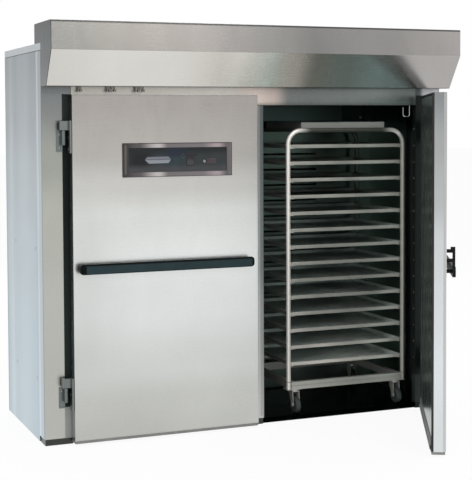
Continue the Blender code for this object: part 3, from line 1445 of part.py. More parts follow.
def make_fork(name, trail, top):
    """A caster fork with its axle, at the origin of its pivot and at the height it has under the rack."""
    bridge = CASTER_PLATE_UNDER - CASTER_HEAD_HEIGHT
    shoulder = bridge - CASTER_SHOULDER
    outline = [(-CASTER_FORK_HALF_TOP, bridge), (-CASTER_FORK_HALF_TOP, shoulder)]
    for step in range(ARC_STEPS + 1):
        angle = math.pi + step / ARC_STEPS * math.pi
        outline.append((
            trail + CASTER_FORK_FOOT_RADIUS * math.cos(angle),
            CASTER_AXLE_Z + CASTER_FORK_FOOT_RADIUS * math.sin(angle)))
    outline += [(CASTER_FORK_HALF_TOP, shoulder), (CASTER_FORK_HALF_TOP, bridge)]
    half = CASTER_FORK_WIDTH / 2
    fork = plate(name, "YZ", outline, (-half, half))
    slot_half = half - CASTER_FORK_SHEET
    reach = CASTER_WHEEL_RADIUS + CASTER_TRAIL
    slot = box("slot", (-slot_half, slot_half), (-reach, reach), (0, bridge - CASTER_FORK_SHEET))
    head = rod("head", CASTER_HEAD_RADIUS, (bridge - CASTER_FORK_SHEET / 2, top), ROUND_STEPS)
    axle = rod("axle", AXLE_RADIUS, (-half - AXLE_HEAD, half + AXLE_HEAD))
    fastened = [move(axle, (0, trail, CASTER_AXLE_Z), along_x())]
    for end in (-1, 1):
        nut_span = (end * (half - CASTER_FORK_SHEET / 2), end * (half + AXLE_HEAD))
        nut = rod("nut", AXLE_HEAD_RADIUS, nut_span, NUT_SIDES)
        fastened.append(move(nut, (0, trail, CASTER_AXLE_Z), along_x()))
    return settle(unite(cut(fork, slot), head, *fastened))


def make_caster_wheel(name):
    """A wheel turned about its axle, with a rounded tyre and a recessed web."""
    half = CASTER_WHEEL_WIDTH / 2
    hub = half + CASTER_HUB_PROUD
    bore = AXLE_RADIUS + AXLE_CLEARANCE
    wheel = turned(name, (
        (bore, hub),
        (CASTER_HUB_RADIUS, hub),
        (CASTER_HUB_RADIUS, half - CASTER_RIM_RECESS),
        (CASTER_RIM_RADIUS, half - CASTER_RIM_RECESS),
        (CASTER_RIM_RADIUS, half),
        (CASTER_WHEEL_RADIUS - CASTER_WHEEL_EDGE, half),
        (CASTER_WHEEL_RADIUS, half - CASTER_WHEEL_EDGE),
        (CASTER_WHEEL_RADIUS, CASTER_WHEEL_EDGE - half),
        (CASTER_WHEEL_RADIUS - CASTER_WHEEL_EDGE, -half),
        (CASTER_RIM_RADIUS, -half),
        (CASTER_RIM_RADIUS, CASTER_RIM_RECESS - half),
        (CASTER_HUB_RADIUS, CASTER_RIM_RECESS - half),
        (CASTER_HUB_RADIUS, -hub),
        (bore, -hub),
        (bore, hub),
    ))
    return keep(shade_round(wheel), "caster_tyre")


def make_casters():
    """Swivel forks in front, and the four wheels. The rear forks belong to the base."""
    pieces = []
    for word, (x, y) in zip(("front_left", "front_right", "rear_left", "rear_right"), caster_places()):
        trail = 0.0
        if word.startswith("front"):
            trail = -CASTER_TRAIL
            fork = make_fork(word + "_caster_fork", trail, CASTER_PLATE_UNDER - FIT)
            pieces.append(keep(move(fork, (x, y, 0)), "caster_steel"))
        wheel = make_caster_wheel(word + "_caster_wheel")
        pieces.append(move(wheel, (x, y + trail, CASTER_AXLE_Z), along_x()))
    return pieces


def make_rack():
    pieces = [make_rack_frame(), make_rack_base()] + make_trays() + make_casters()
    axis = empty_at("rack_axis", ((RACK_LEFT + RACK_RIGHT) / 2, (RACK_FRONT + RACK_BACK) / 2, 0))
    carry(axis, pieces)


make_floor_base()
make_posts()
make_strips()
make_mullion_and_header()
make_walls()
make_hood()
make_plenum()
make_duct_panel()
make_blower()
make_air_heater()
make_humidifier()
make_electrics()
make_doors()
make_rack()
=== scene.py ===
import json
import math

import bmesh
import bpy
from mathutils import Matrix, Vector


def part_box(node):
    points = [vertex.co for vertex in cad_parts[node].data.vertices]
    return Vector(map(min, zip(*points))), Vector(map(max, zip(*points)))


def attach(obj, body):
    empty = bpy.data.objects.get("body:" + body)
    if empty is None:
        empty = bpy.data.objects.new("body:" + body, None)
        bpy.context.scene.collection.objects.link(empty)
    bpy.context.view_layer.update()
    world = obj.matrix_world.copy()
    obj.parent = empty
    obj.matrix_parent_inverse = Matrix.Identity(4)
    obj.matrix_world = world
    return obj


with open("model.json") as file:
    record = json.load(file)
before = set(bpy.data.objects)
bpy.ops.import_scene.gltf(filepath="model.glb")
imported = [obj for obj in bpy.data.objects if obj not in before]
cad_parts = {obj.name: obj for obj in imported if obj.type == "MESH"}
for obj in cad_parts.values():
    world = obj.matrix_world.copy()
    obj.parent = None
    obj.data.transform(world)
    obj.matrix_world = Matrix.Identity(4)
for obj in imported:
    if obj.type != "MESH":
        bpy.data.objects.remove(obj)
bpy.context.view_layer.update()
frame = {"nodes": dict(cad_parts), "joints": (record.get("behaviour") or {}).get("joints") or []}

NODES = frame["nodes"]

# Places of the CAD, in metres in the part's own frame.

RIGHT_HINGE = next(joint for joint in frame["joints"] if joint["name"] == "right_door_hinge")
DOOR_OPEN = math.radians(-RIGHT_HINGE["range_deg"][0])
DOOR_PIN = Vector((*RIGHT_HINGE["pos_m"][:2], 0.0))
RIGHT_DOOR = (Matrix.Translation(DOOR_PIN) @ Matrix.Rotation(DOOR_OPEN, 4, "Z")
              @ Matrix.Translation(-DOOR_PIN))
ROOF_LOW, ROOF_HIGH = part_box("roof_panel")
SIDE = ROOF_HIGH.x
FRAME_FRONT = ROOF_LOW.y
ROOF_TOP = ROOF_HIGH.z
MULLION_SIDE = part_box("mullion_post")[1].x
STRIP_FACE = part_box("right_breaker_strip")[0].x
REAR_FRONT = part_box("rear_wall")[0].y
DOOR_LOW, DOOR_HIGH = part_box("left_door_skin")
CORE_LOW, CORE_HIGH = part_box("left_door_inner_panel")
HANDLE_LOW, HANDLE_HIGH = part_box("left_door_handle")
STRAP_FEET = tuple(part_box("left_door_%s_hinge_strap" % end)[0].z for end in ("lower", "upper"))
BEZEL_LOW, BEZEL_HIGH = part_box("control_bezel")
FACE_FRONT = BEZEL_LOW.y + 0.0039
HOOD_LOW, HOOD_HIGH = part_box("hood_shell")
TRAYS = tuple("sheet_tray_%02d" % number for number in range(1, 15))
TRAY_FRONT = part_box(TRAYS[0])[0].y
TRAY_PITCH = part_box(TRAYS[1])[0].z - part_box(TRAYS[0])[0].z
RACK_LOW, RACK_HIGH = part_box("rack_base")

# LIFT sets a head just off its face, and FAR is a place beyond every side of the object.

LIFT = 0.0001
FAR = 9.0
WHITE = (1.0, 1.0, 1.0, 1.0)


def srgb(red, green, blue):
    """A colour as it shows on a screen, 0 to 255, turned into the shader's own scale."""
    out = []
    for value in (red, green, blue):
        value /= 255
        out.append(value / 12.92 if value <= 0.04045 else ((value + 0.055) / 1.055) ** 2.4)
    return (*out, 1.0)


def tones(*stops):
    """Stops along an axis: each is a place, and the red, green and blue there."""
    return tuple((place, srgb(*colour)) for place, *colour in stops)


def above(start, soft):
    """A span from a place onwards along an axis, with a soft edge."""
    return start, FAR, soft


def below(end, soft):
    """A span up to a place along an axis, with a soft edge."""
    return -FAR, end, soft


def field(tone, strength=1.0, along="X", slant=0.0, **spans):
    """A field of another tone, for a box given as spans (start, end, soft edge) along X, Y and Z.

    The tone is a colour, or stops along an axis. A slant adds a share of the height to X, for a field
    with a leaning edge.
    """
    return tone, strength, along, slant, spans


# Grain of the steel and plastic, and the caps over the panels' cam locks.

ALONG_GRAIN = 2.0
ACROSS_GRAIN = 260.0
GRAIN = {
    "X": (ALONG_GRAIN, ACROSS_GRAIN, ACROSS_GRAIN),
    "Y": (ACROSS_GRAIN, ALONG_GRAIN, ACROSS_GRAIN),
    "Z": (ACROSS_GRAIN, ACROSS_GRAIN, ALONG_GRAIN),
}
NOISE_LOW, NOISE_HIGH = 0.3, 0.7
STEEL_RELIEF = 0.000002
STEEL_LINES = 0.008
STEEL_SMEARS = 0.015
STEEL_LINE_GLOSS = 0.6
PLASTIC_GRAIN = 900.0
PLASTIC_MOTTLE = 0.12
PLASTIC_SPECKS = 0.05
SMOOTH_GRAIN = 0.000004
PLUG_TONE = srgb(150, 154, 156)
PLUG_COVER = 0.8
PLUG_RIM_TONE = srgb(70, 76, 80)
PLUG_RIM_COVER = 0.75
PLUG_FIRST = 0.36
PLUG_PITCH = 0.74
PLUG_RADIUS = 0.011
PLUG_SOFT = 0.0006
PLUG_RIM = 0.0012
PLUG_RISE = 300.0


class Graph:
    """A material's node tree, with short calls for the nodes that the finishes are built from."""

    def __init__(self, name, metallic=0.0, roughness=0.5, **fixed):
        self.material = bpy.data.materials.new(name)
        self.material.use_nodes = True
        self.tree = self.material.node_tree
        self.shader = self.tree.nodes["Principled BSDF"]
        self.set(self.shader, "Metallic", metallic)
        self.set(self.shader, "Roughness", roughness)
        for key, value in fixed.items():
            self.set(self.shader, key.replace("_", " "), value)
        self.coords = self.tree.nodes.new("ShaderNodeTexCoord").outputs["Object"]

    def follow_right_door(self):
        """Measures the open right door as if it were shut, so that both doors take the same finish."""
        back = Matrix.Rotation(-DOOR_OPEN, 3, "Z")
        self.coords = self.place(turn=(0, 0, -DOOR_OPEN), shift=tuple(DOOR_PIN - back @ DOOR_PIN))

    def set(self, node, socket, value):
        node.inputs[socket].default_value = value

    def new(self, kind, **props):
        node = self.tree.nodes.new(kind)
        for key, value in props.items():
            setattr(node, key, value)
        return node

    def link(self, source, target):
        self.tree.links.new(source, target)

    def place(self, scale=(1, 1, 1), turn=(0, 0, 0), shift=(0, 0, 0)):
        node = self.new("ShaderNodeMapping")
        self.link(self.coords, node.inputs["Vector"])
        self.set(node, "Scale", scale)
        self.set(node, "Rotation", turn)
        self.set(node, "Location", shift)
        return node.outputs["Vector"]

    def noise(self, size, detail, rough, scale=(1, 1, 1), warp=0.0, shift=(0, 0, 0)):
        node = self.new("ShaderNodeTexNoise")
        self.link(self.place(scale, shift=shift), node.inputs["Vector"])
        self.set(node, "Scale", size)
        self.set(node, "Detail", detail)
        self.set(node, "Roughness", rough)
        self.set(node, "Distortion", warp)
        return node.outputs["Fac"]

    def axis(self, name):
        node = self.new("ShaderNodeSeparateXYZ")
        self.link(self.coords, node.inputs[0])
        return node.outputs[name]

    def fit(self, value, low, high, to_low=0.0, to_high=1.0, smooth=False):
        node = self.new("ShaderNodeMapRange", interpolation_type="SMOOTHSTEP" if smooth else "LINEAR")
        self.link(value, node.inputs["Value"])
        self.set(node, "From Min", low)
        self.set(node, "From Max", high)
        self.set(node, "To Min", to_low)
        self.set(node, "To Max", to_high)
        return node.outputs["Result"]

    def maths(self, kind, a, b=0.0):
        node = self.new("ShaderNodeMath", operation=kind)
        for socket, value in zip(node.inputs, (a, b)):
            if isinstance(value, (int, float)):
                socket.default_value = value
            else:
                self.link(value, socket)
        return node.outputs[0]

    def mix(self, factor, a, b, blend="MIX"):
        node = self.new("ShaderNodeMix", data_type="RGBA", blend_type=blend)
        for socket, value in ((node.inputs[0], factor), (node.inputs[6], a), (node.inputs[7], b)):
            if isinstance(value, (int, float, tuple)):
                socket.default_value = value
            else:
                self.link(value, socket)
        return node.outputs[2]

    def tone(self, stops, along):
        """A plain colour as it is, or a colour that goes from stop to stop along an axis."""
        if not isinstance(stops[0], tuple):
            return stops
        low, high = stops[0][0], stops[-1][0]
        node = self.new("ShaderNodeValToRGB")
        node.color_ramp.interpolation = "EASE"
        marks = node.color_ramp.elements
        while len(marks) < len(stops):
            marks.new(0.5)
        for mark, (place, colour) in zip(marks, stops):
            mark.position = (place - low) / (high - low)
            mark.color = colour
        self.link(self.fit(self.axis(along), low, high), node.inputs["Fac"])
        return node.outputs["Color"]

    def inside(self, spans, slant):
        """One inside a box with soft edges, and zero outside."""
        inside = 1.0
        for axis, (start, end, soft) in spans.items():
            value = self.axis(axis)
            if axis == "X" and slant:
                value = self.maths("ADD", value, self.maths("MULTIPLY", self.axis("Z"), slant))
            rise = self.fit(value, start - soft, start + soft, smooth=True)
            fall = self.fit(value, end - soft, end + soft, 1.0, 0.0, smooth=True)
            inside = self.maths("MULTIPLY", inside, self.maths("MULTIPLY", rise, fall))
        return inside

    def lay(self, colour, fields):
        """The colour with fields of other tones laid over it in turn."""
        for tone, strength, along, slant, spans in fields:
            cover = self.maths("MULTIPLY", self.inside(spans, slant), strength)
            colour = self.mix(cover, colour, self.tone(tone, along))
        return colour

    def times(self, colour, value, share):
        """The colour made darker and lighter by a noise, by a share at most."""
        grey = self.new("ShaderNodeCombineColor")
        strength = self.fit(value, NOISE_LOW, NOISE_HIGH, 1 - share, 1 + share)
        for socket in grey.inputs[:3]:
            self.link(strength, socket)
        return self.mix(1.0, colour, grey.outputs[0], "MULTIPLY")

    def plugs(self, across, places):
        """One inside the lock caps, in columns at places along an axis, and one on their rims."""
        whole_pitches = 20 * PLUG_PITCH
        height = self.maths("ADD", self.axis("Z"), whole_pitches - PLUG_FIRST)
        up = self.maths("PINGPONG", height, PLUG_PITCH / 2)
        nearest = FAR
        for place in places:
            aside = self.maths("SUBTRACT", self.axis(across), place)
            squares = self.maths("ADD", self.maths("MULTIPLY", aside, aside), self.maths("MULTIPLY", up, up))
            nearest = self.maths("MINIMUM", nearest, self.maths("SQRT", squares))
        cap = self.fit(nearest, PLUG_RADIUS - PLUG_SOFT, PLUG_RADIUS + PLUG_SOFT, 1.0, 0.0)
        off = self.maths("ABSOLUTE", self.maths("SUBTRACT", nearest, PLUG_RADIUS))
        return cap, self.fit(off, 0.0, PLUG_RIM, 1.0, 0.0)

    def finish(self, colour, gloss, rough, relief, height):
        """The colour, a roughness that a noise moves between two values, and a relief of some height."""
        self.link(colour, self.shader.inputs["Base Color"])
        self.link(self.fit(gloss, NOISE_LOW, NOISE_HIGH, *rough), self.shader.inputs["Roughness"])
        node = self.new("ShaderNodeBump")
        self.set(node, "Strength", 1.0)
        self.set(node, "Distance", height)
        self.link(relief, node.inputs["Height"])
        self.link(node.outputs["Normal"], self.shader.inputs["Normal"])
        return self.material


def steel(name, stops, along="Z", grain="Z", rough=(0.24, 0.34), fields=(), cloud=0.03, metal=1.0,
          right_door=False, plugs=None, edge=1.0):
    """Brushed sheet steel: a colour or stops along an axis, with fields of other tones over it.

    Cloud is how much it is mottled. Plugs give the columns of lock caps. Edge below 1 dims the steel
    where it is seen at a low angle.
    """
    g = Graph(name, metallic=metal, Specular_Tint=(edge, edge, edge, 1.0))
    if right_door:
        g.follow_right_door()
    finer = tuple(4 * value for value in GRAIN[grain])
    lines = g.noise(size=3.0, detail=4.0, rough=0.62, scale=GRAIN[grain])
    fine = g.noise(size=3.0, detail=2.0, rough=0.5, scale=finer)
    clouds = g.noise(size=1.7, detail=3.0, rough=0.55, warp=0.4)
    smears = g.noise(
        size=7.0, detail=5.0, rough=0.62, warp=0.8, scale=(1.0, 1.0, 0.35), shift=(3.1, 1.7, 0.4))
    base = g.lay(g.tone(stops, along), fields)
    base = g.times(base, lines, STEEL_LINES)
    base = g.times(base, clouds, cloud)
    base = g.times(base, smears, STEEL_SMEARS)
    relief = g.maths("ADD", lines, fine)
    if plugs:
        cap, rim = g.plugs(*plugs)
        base = g.mix(g.maths("MULTIPLY", cap, PLUG_COVER), base, PLUG_TONE)
        base = g.mix(g.maths("MULTIPLY", rim, PLUG_RIM_COVER), base, PLUG_RIM_TONE)
        relief = g.maths("ADD", relief, g.maths("MULTIPLY", cap, PLUG_RISE))
    smear_gloss = g.maths("MULTIPLY", smears, 1 - STEEL_LINE_GLOSS)
    gloss = g.maths("ADD", g.maths("MULTIPLY", lines, STEEL_LINE_GLOSS), smear_gloss)
    return g.finish(base, gloss, rough, relief, STEEL_RELIEF)


def moulded(name, colour, rough=(0.40, 0.52), grain=0.00004, fields=(), shine=0.5):
    """Moulded plastic, glass or rubber with a fine grain, slight mottling and fields of another tone."""
    g = Graph(name, Specular_IOR_Level=shine)
    tiny = g.noise(size=PLASTIC_GRAIN, detail=2.0, rough=0.5)
    broad = g.noise(size=9.0, detail=4.0, rough=0.6, warp=0.5)
    base = g.times(g.lay(colour, fields), broad, PLASTIC_MOTTLE)
    base = g.times(base, tiny, PLASTIC_SPECKS)
    return g.finish(base, broad, rough, tiny, grain)


def dress(node, material):
    """Gives a CAD node its finish in every material slot it has."""
    for slot in NODES[node].material_slots:
        slot.link = "OBJECT"
        slot.material = material


# The doors: painted reflection along their height, their edges painted darker towards the top, a patch of
# painted shade beside the hinges, and painted shade on the folds at the top and foot.

# Painted reflection: the fronts lighter in the middle of their height and darker at the foot and the top.
DOOR_PAINTED_REFLECTION = tones(
    (0.03, 193, 194, 190), (0.22, 198, 199, 194), (0.42, 208, 211, 208), (0.75, 223, 226, 225),
    (1.05, 225, 228, 226), (1.28, 217, 219, 216), (1.45, 197, 196, 192), (1.65, 174, 171, 166),
    (1.97, 160, 155, 151))
# Painted shade: the doors' edges darker towards the top.
DOOR_EDGES = field(
    tones((0.03, 196, 200, 201), (1.0, 190, 192, 192), (1.5, 184, 186, 185), (1.97, 172, 174, 175)),
    along="Z", Y=above(CORE_LOW.y, 0.0004))
# A patch of painted shade on the front beside the hinges.
DOOR_HINGE_SIDE_SHADE = field(
    srgb(196, 198, 195), 0.5, X=(-1.2, -0.92, 0.20), Z=(0.3, 1.4, 0.3), Y=below(DOOR_LOW.y + 0.0017, 0.0005))
# Painted shade along the folds at the top and at the foot.
DOOR_TOP_FOLD_SHADE = field(srgb(150, 151, 150), 0.6, Z=above(DOOR_HIGH.z - 0.009, 0.004))
DOOR_FOOT_FOLD_SHADE = field(srgb(165, 164, 161), 0.5, Z=below(DOOR_LOW.z + 0.006, 0.006))
front = steel(
    "door_front_steel", DOOR_PAINTED_REFLECTION, grain="X",
    fields=(DOOR_EDGES, DOOR_HINGE_SIDE_SHADE, DOOR_TOP_FOLD_SHADE, DOOR_FOOT_FOLD_SHADE))
front_open = steel(
    "right_door_steel", DOOR_PAINTED_REFLECTION, grain="X", right_door=True, fields=(DOOR_EDGES, DOOR_TOP_FOLD_SHADE))

# The doors' inner panels, with painted shade that makes them darker towards the top. The open one shows its
# inner face, with painted light that makes it lighter towards the top, and the hood's slope reflects it.

# Painted shade: the inner panels darker towards the top.
CORE_PAINTED_SHADE = tones(
    (0.0, 218, 221, 222), (0.5, 222, 227, 230), (0.9, 216, 219, 221), (1.15, 209, 212, 212),
    (1.4, 186, 189, 189), (1.7, 168, 171, 170), (1.98, 138, 141, 142))
# Painted light on the open door's inner face, lighter towards the top.
CORE_INNER_FACE_LIGHT = field(
    tones((0.0, 120, 133, 130), (0.55, 142, 157, 153), (1.12, 196, 212, 208)),
    Y=above(CORE_HIGH.y - 0.0075, 0.0003))
core = steel("door_liner_steel", CORE_PAINTED_SHADE, rough=(0.22, 0.32))
core_open = steel(
    "right_door_liner_steel", CORE_PAINTED_SHADE, rough=(0.22, 0.32), right_door=True, fields=(CORE_INNER_FACE_LIGHT,))

# The posts, each side and front of them with painted light and shade of its own: the faces darker towards
# the top, painted highlights and painted shade in bands, and painted shade inside the bay and at the feet.

# Painted shade: the posts' outer sides darker towards the top.
OUTER_SIDE_TONES = tones((0.0, 175, 190, 199), (1.2, 170, 183, 189), (2.2, 132, 140, 145))
LEFT_FACE = below(0.001 - SIDE, 0.0006)
POST_INSIDE = SIDE - 0.002
PLATE_FRONTS = below(FRAME_FRONT - 0.001, 0.0004)
FLAT_FRONT = below(FRAME_FRONT + 0.0005, 0.0004)
MULLION_FACE = MULLION_SIDE - 0.0005
MULLION_FLAT = MULLION_SIDE - 0.0045
DOORWAY = (0.05, 1.95, 0.002)
LEFT_OUTER_SIDE = field(OUTER_SIDE_TONES, along="Z", X=LEFT_FACE)
RIGHT_OUTER_SIDE = field(OUTER_SIDE_TONES, along="Z", X=above(SIDE - 0.001, 0.0006))
# A painted highlight in a band down the left side.
LEFT_SIDE_HIGHLIGHT_BAND = field(
    tones((0.0, 196, 210, 216), (1.2, 186, 198, 203), (2.2, 168, 173, 178)), along="Z",
    X=LEFT_FACE, Y=(-0.402, -0.350, 0.008))
# Painted shade in a band at the front of the left side.
LEFT_SIDE_FRONT_SHADE = field(
    tones((0.0, 148, 156, 162), (1.2, 144, 154, 158), (2.2, 118, 122, 124)), along="Z",
    X=below(-POST_INSIDE, 0.0006), Y=(-0.480, -0.466, 0.003))
LEFT_HINGE_PLATES = field(srgb(112, 119, 118), X=below(-1.05, 0.001), Y=PLATE_FRONTS)
RIGHT_HINGE_PLATES = field(srgb(112, 119, 118), X=above(1.05, 0.001), Y=PLATE_FRONTS)
# Painted shade at the feet of the posts, a painted shadow gap.
BASE_BLOCK_SHADE = field(srgb(66, 68, 65), Z=below(0.0359, 0.0004))
# Painted shade on the mullion's left side.
MULLION_LEFT_SIDE_SHADE = field(srgb(60, 66, 64), X=(-1.10, -MULLION_FACE, 0.0004))
# Painted shade on the sides that face into the bay.
BAY_SIDES_SHADE = field(
    srgb(34, 42, 40), X=(MULLION_FACE, POST_INSIDE, 0.0004), Y=above(FRAME_FRONT + 0.0015, 0.0004))
# Painted shade on the mullion's corner by the bay, darker towards the top.
MULLION_CORNER_SHADE = field(
    tones((0.0, 84, 90, 89), (0.9, 62, 70, 70), (1.6, 46, 54, 54)), along="Z",
    X=(MULLION_FLAT, 0.08, 0.0004), Z=(0.0, 1.95, 0.002))
# Painted shade: the mullion's front darker towards the top.
MULLION_FRONT = field(
    tones((0.0, 186, 187, 184), (0.7, 182, 185, 183), (1.0, 158, 161, 162), (1.9, 128, 130, 130)), 0.8,
    along="Z", X=(-MULLION_FLAT, MULLION_FLAT, 0.0004), Z=DOORWAY, Y=FLAT_FRONT)
MULLION_FRONT_SHADE = field(
    tones((0.0, 160, 161, 158), (0.7, 146, 149, 148), (1.0, 116, 122, 122), (1.9, 92, 98, 98)), 0.9,
    along="Z", X=(0.043, 0.0660, 0.004), Z=DOORWAY, Y=FLAT_FRONT)
RIGHT_POST_SHADE = field(srgb(60, 66, 65), X=(1.09, POST_INSIDE, 0.0004), Z=(1.0, 2.3, 0.8))
# A painted highlight at the top of the right post's front.
RIGHT_POST_TOP_HIGHLIGHT = field(
    srgb(172, 173, 176), X=(1.150, POST_INSIDE, 0.020), Z=above(1.955, 0.020), Y=FLAT_FRONT)
# Painted shade: the posts' fronts darker towards the top.
jamb = steel(
    "jamb_steel", tones(
        (0.03, 186, 186, 180), (0.9, 184, 185, 178), (1.3, 178, 180, 172), (1.6, 156, 158, 151),
        (1.97, 122, 125, 125), (2.2, 98, 102, 102)),
    fields=(
        LEFT_OUTER_SIDE, RIGHT_OUTER_SIDE, LEFT_SIDE_HIGHLIGHT_BAND, LEFT_SIDE_FRONT_SHADE,
        LEFT_HINGE_PLATES, RIGHT_HINGE_PLATES, BASE_BLOCK_SHADE, MULLION_LEFT_SIDE_SHADE, BAY_SIDES_SHADE,
        MULLION_CORNER_SHADE, MULLION_FRONT, MULLION_FRONT_SHADE, RIGHT_POST_SHADE, RIGHT_POST_TOP_HIGHLIGHT))

# The header: a painted shadow line over the doors, painted shade on its sheets inside the plenum, a painted
# highlight on its edge over the bay, and painted light and shade along it that is darker over the bay.

# Painted shade for the inner sheets that face into the dark cabinet.
INTERIOR_SHADE = srgb(52, 65, 61)
HEADER_LINE = field(srgb(96, 98, 96), 0.55, Z=(1.90, 1.926, 0.012))
# Painted shade on the header's sheets inside the plenum.
HEADER_PLENUM_SHADE = field(INTERIOR_SHADE, Y=above(FRAME_FRONT + 0.0025, 0.001), Z=above(1.9150, 0.0005))
# A painted highlight along the header's edge over the bay.
HEADER_EDGE_HIGHLIGHT = field(srgb(206, 209, 206), Z=below(1.9130, 0.0005))
# Painted light and shade along X: light over the left door and darker over the bay.
header = steel(
    "header_steel", tones(
        (-1.2, 184, 180, 173), (-0.2, 198, 194, 188), (0.03, 206, 192, 185), (0.13, 196, 182, 174),
        (0.24, 128, 131, 129), (0.8, 136, 142, 140), (1.06, 108, 115, 113), (1.2, 70, 77, 74)),
    along="X", grain="X", fields=(HEADER_LINE, HEADER_PLENUM_SHADE, HEADER_EDGE_HIGHLIGHT))

# The walls and roof: painted bright and dark columns of light, the walls painted darker towards the top,
# painted shade towards the rear corner, and painted shade on the inner sheets.

# Painted shade: the walls darker towards the top.
WALL_TONES = tones(
    (0.0, 179, 196, 205), (0.5, 178, 194, 204), (1.1, 177, 190, 198), (1.5, 166, 176, 182),
    (1.85, 147, 154, 159), (2.26, 130, 138, 144))
MIDDLE_COLUMN = field(
    tones((0.0, 198, 211, 217), (1.4, 186, 196, 202), (2.26, 152, 159, 163)), 0.5, along="Z",
    Y=(-0.16, 0.12, 0.10))
FRONT_COLUMN = field(
    tones((0.0, 176, 189, 196), (1.4, 166, 177, 183), (2.26, 128, 136, 141)), 0.7, along="Z",
    Y=below(-0.315, 0.020))
REAR_COLUMN = field(
    tones((0.0, 200, 213, 220), (1.4, 186, 196, 202), (2.26, 150, 157, 161)), 0.7, along="Z",
    Y=(0.24, 0.36, 0.05))
# Painted shade towards the rear corner.
REAR_CORNER_SHADE = field(srgb(134, 143, 147), 0.55, Y=above(0.44, 0.02))
# Painted shade on the side walls' inner sheets.
SIDE_WALL_INNER_SHADE = field(
    srgb(104, 124, 116), X=(-POST_INSIDE, POST_INSIDE, 0.0005), Y=below(REAR_FRONT - 0.001, 0.0005))
side = steel(
    "side_steel", WALL_TONES, rough=(0.28, 0.40), plugs=("Y", (0.215, -0.31)),
    fields=(MIDDLE_COLUMN, FRONT_COLUMN, REAR_COLUMN, REAR_CORNER_SHADE, SIDE_WALL_INNER_SHADE))
rear = steel(
    "rear_steel", WALL_TONES, rough=(0.28, 0.40), plugs=("X", (-0.055, 0.055, -1.19, 1.19)),
    fields=(field(INTERIOR_SHADE, Y=below(REAR_FRONT + 0.0025, 0.0005)),))
roof = steel(
    "roof_steel", srgb(176, 182, 186), grain="Y", rough=(0.30, 0.42),
    fields=(field(INTERIOR_SHADE, Z=below(ROOF_LOW.z + 0.003, 0.0005)),))

# The hood: painted reflection along it, across its sloping front and on the slope's right end, painted shade
# on the left end cap, a painted dark reflection on the top fold, painted shade on the lip, and the clips.

HOOD_SLOPE = below(2.2105, 0.0015)
# Painted reflection across the sloping front, bright on the left and dark right of the middle.
SLOPE_PAINTED_REFLECTION = field(
    tones(
        (-1.28, 212, 210, 204), (-0.9, 219, 217, 211), (-0.55, 219, 217, 211), (-0.30, 216, 211, 205),
        (-0.12, 244, 239, 231), (0.02, 255, 252, 243), (0.18, 255, 232, 224), (0.33, 178, 168, 160),
        (0.5, 174, 174, 170), (0.8, 206, 216, 215), (1.28, 226, 238, 238)),
    Z=HOOD_SLOPE)
# Painted reflection on the slope's right end, with a leaning edge.
SLOPE_END_PAINTED_REFLECTION = field(srgb(174, 171, 169), slant=1.80, Z=HOOD_SLOPE, X=above(4.62, 0.05))
# Painted shade on the left end cap, darker towards the top.
LEFT_END_CAP_SHADE = field(
    tones((2.0, 106, 110, 111), (2.2, 78, 84, 86), (2.3, 66, 74, 74), (2.37, 50, 56, 56)), along="Z",
    X=below(HOOD_LOW.x + 0.0037, 0.0003))
# A painted dark reflection along the top fold.
HOOD_TOP_FOLD_REFLECTION = field(
    srgb(60, 62, 61), 0.9, Z=above(HOOD_HIGH.z - 0.0105, 0.003), Y=below(HOOD_LOW.y + 0.0205, 0.002))
# Painted shade along the lip at the hood's foot.
HOOD_LIP_SHADE = field(srgb(70, 74, 72), 0.7, Z=below(HOOD_LOW.z + 0.0310, 0.0015))
HOOD_CLIPS = field(srgb(112, 110, 104), 0.8, Z=below(HOOD_LOW.z + 0.0255, 0.0010))
# Painted reflection along X: lighter towards the ends and darkest a little right of the middle.
hood = steel(
    "hood_steel", tones(
        (-1.28, 152, 151, 146), (-0.75, 164, 160, 155), (-0.42, 166, 162, 157), (-0.2, 154, 151, 148),
        (0.1, 142, 141, 138), (0.3, 130, 129, 127), (0.7, 143, 141, 139), (1.28, 160, 156, 154)),
    along="X", grain="X", rough=(0.20, 0.30), edge=0.8,
    fields=(SLOPE_PAINTED_REFLECTION, SLOPE_END_PAINTED_REFLECTION, LEFT_END_CAP_SHADE, HOOD_TOP_FOLD_REFLECTION, HOOD_LIP_SHADE, HOOD_CLIPS))

# Inside the bay: painted shade on the liner, less dark on the duct panel, and on the plenum's front, then
# the rack, painted lighter towards the top and with painted shade at its head, its right side and in depth,
# its trays and its casters.

DUCT_PANEL = field(srgb(124, 136, 130), Y=above(0.30, 0.004), Z=(0.03, 1.81, 0.01))
PLENUM_SHADE = field(
    srgb(16, 23, 21), X=(0.46, 0.80, 0.20), Z=above(1.815, 0.002), Y=below(0.29, 0.01))
# Painted shade: the liner near black low down and dark green-grey above, less dark on the duct panel.
shaded_liner = steel(
    "liner_steel", tones((0.0, 3, 14, 11), (0.1, 8, 22, 18), (0.5, 58, 72, 68), (2.2, 46, 58, 55)),
    rough=(0.16, 0.28), metal=0.7, edge=0.4, fields=(DUCT_PANEL, PLENUM_SHADE))
# Painted shade on the rack's head, its right side and its deeper parts.
RACK_HEAD_SHADE = field(srgb(62, 64, 58), Z=(1.735, 1.7755, 0.003), X=(0.38, 0.98, 0.06))
RACK_RIGHT_SHADE = field(srgb(150, 146, 139), 0.7, X=above(1.05, 0.01), Z=below(1.74, 0.02))
RACK_DEPTH_SHADE = field(srgb(96, 100, 96), 0.85, Y=above(-0.34, 0.03))
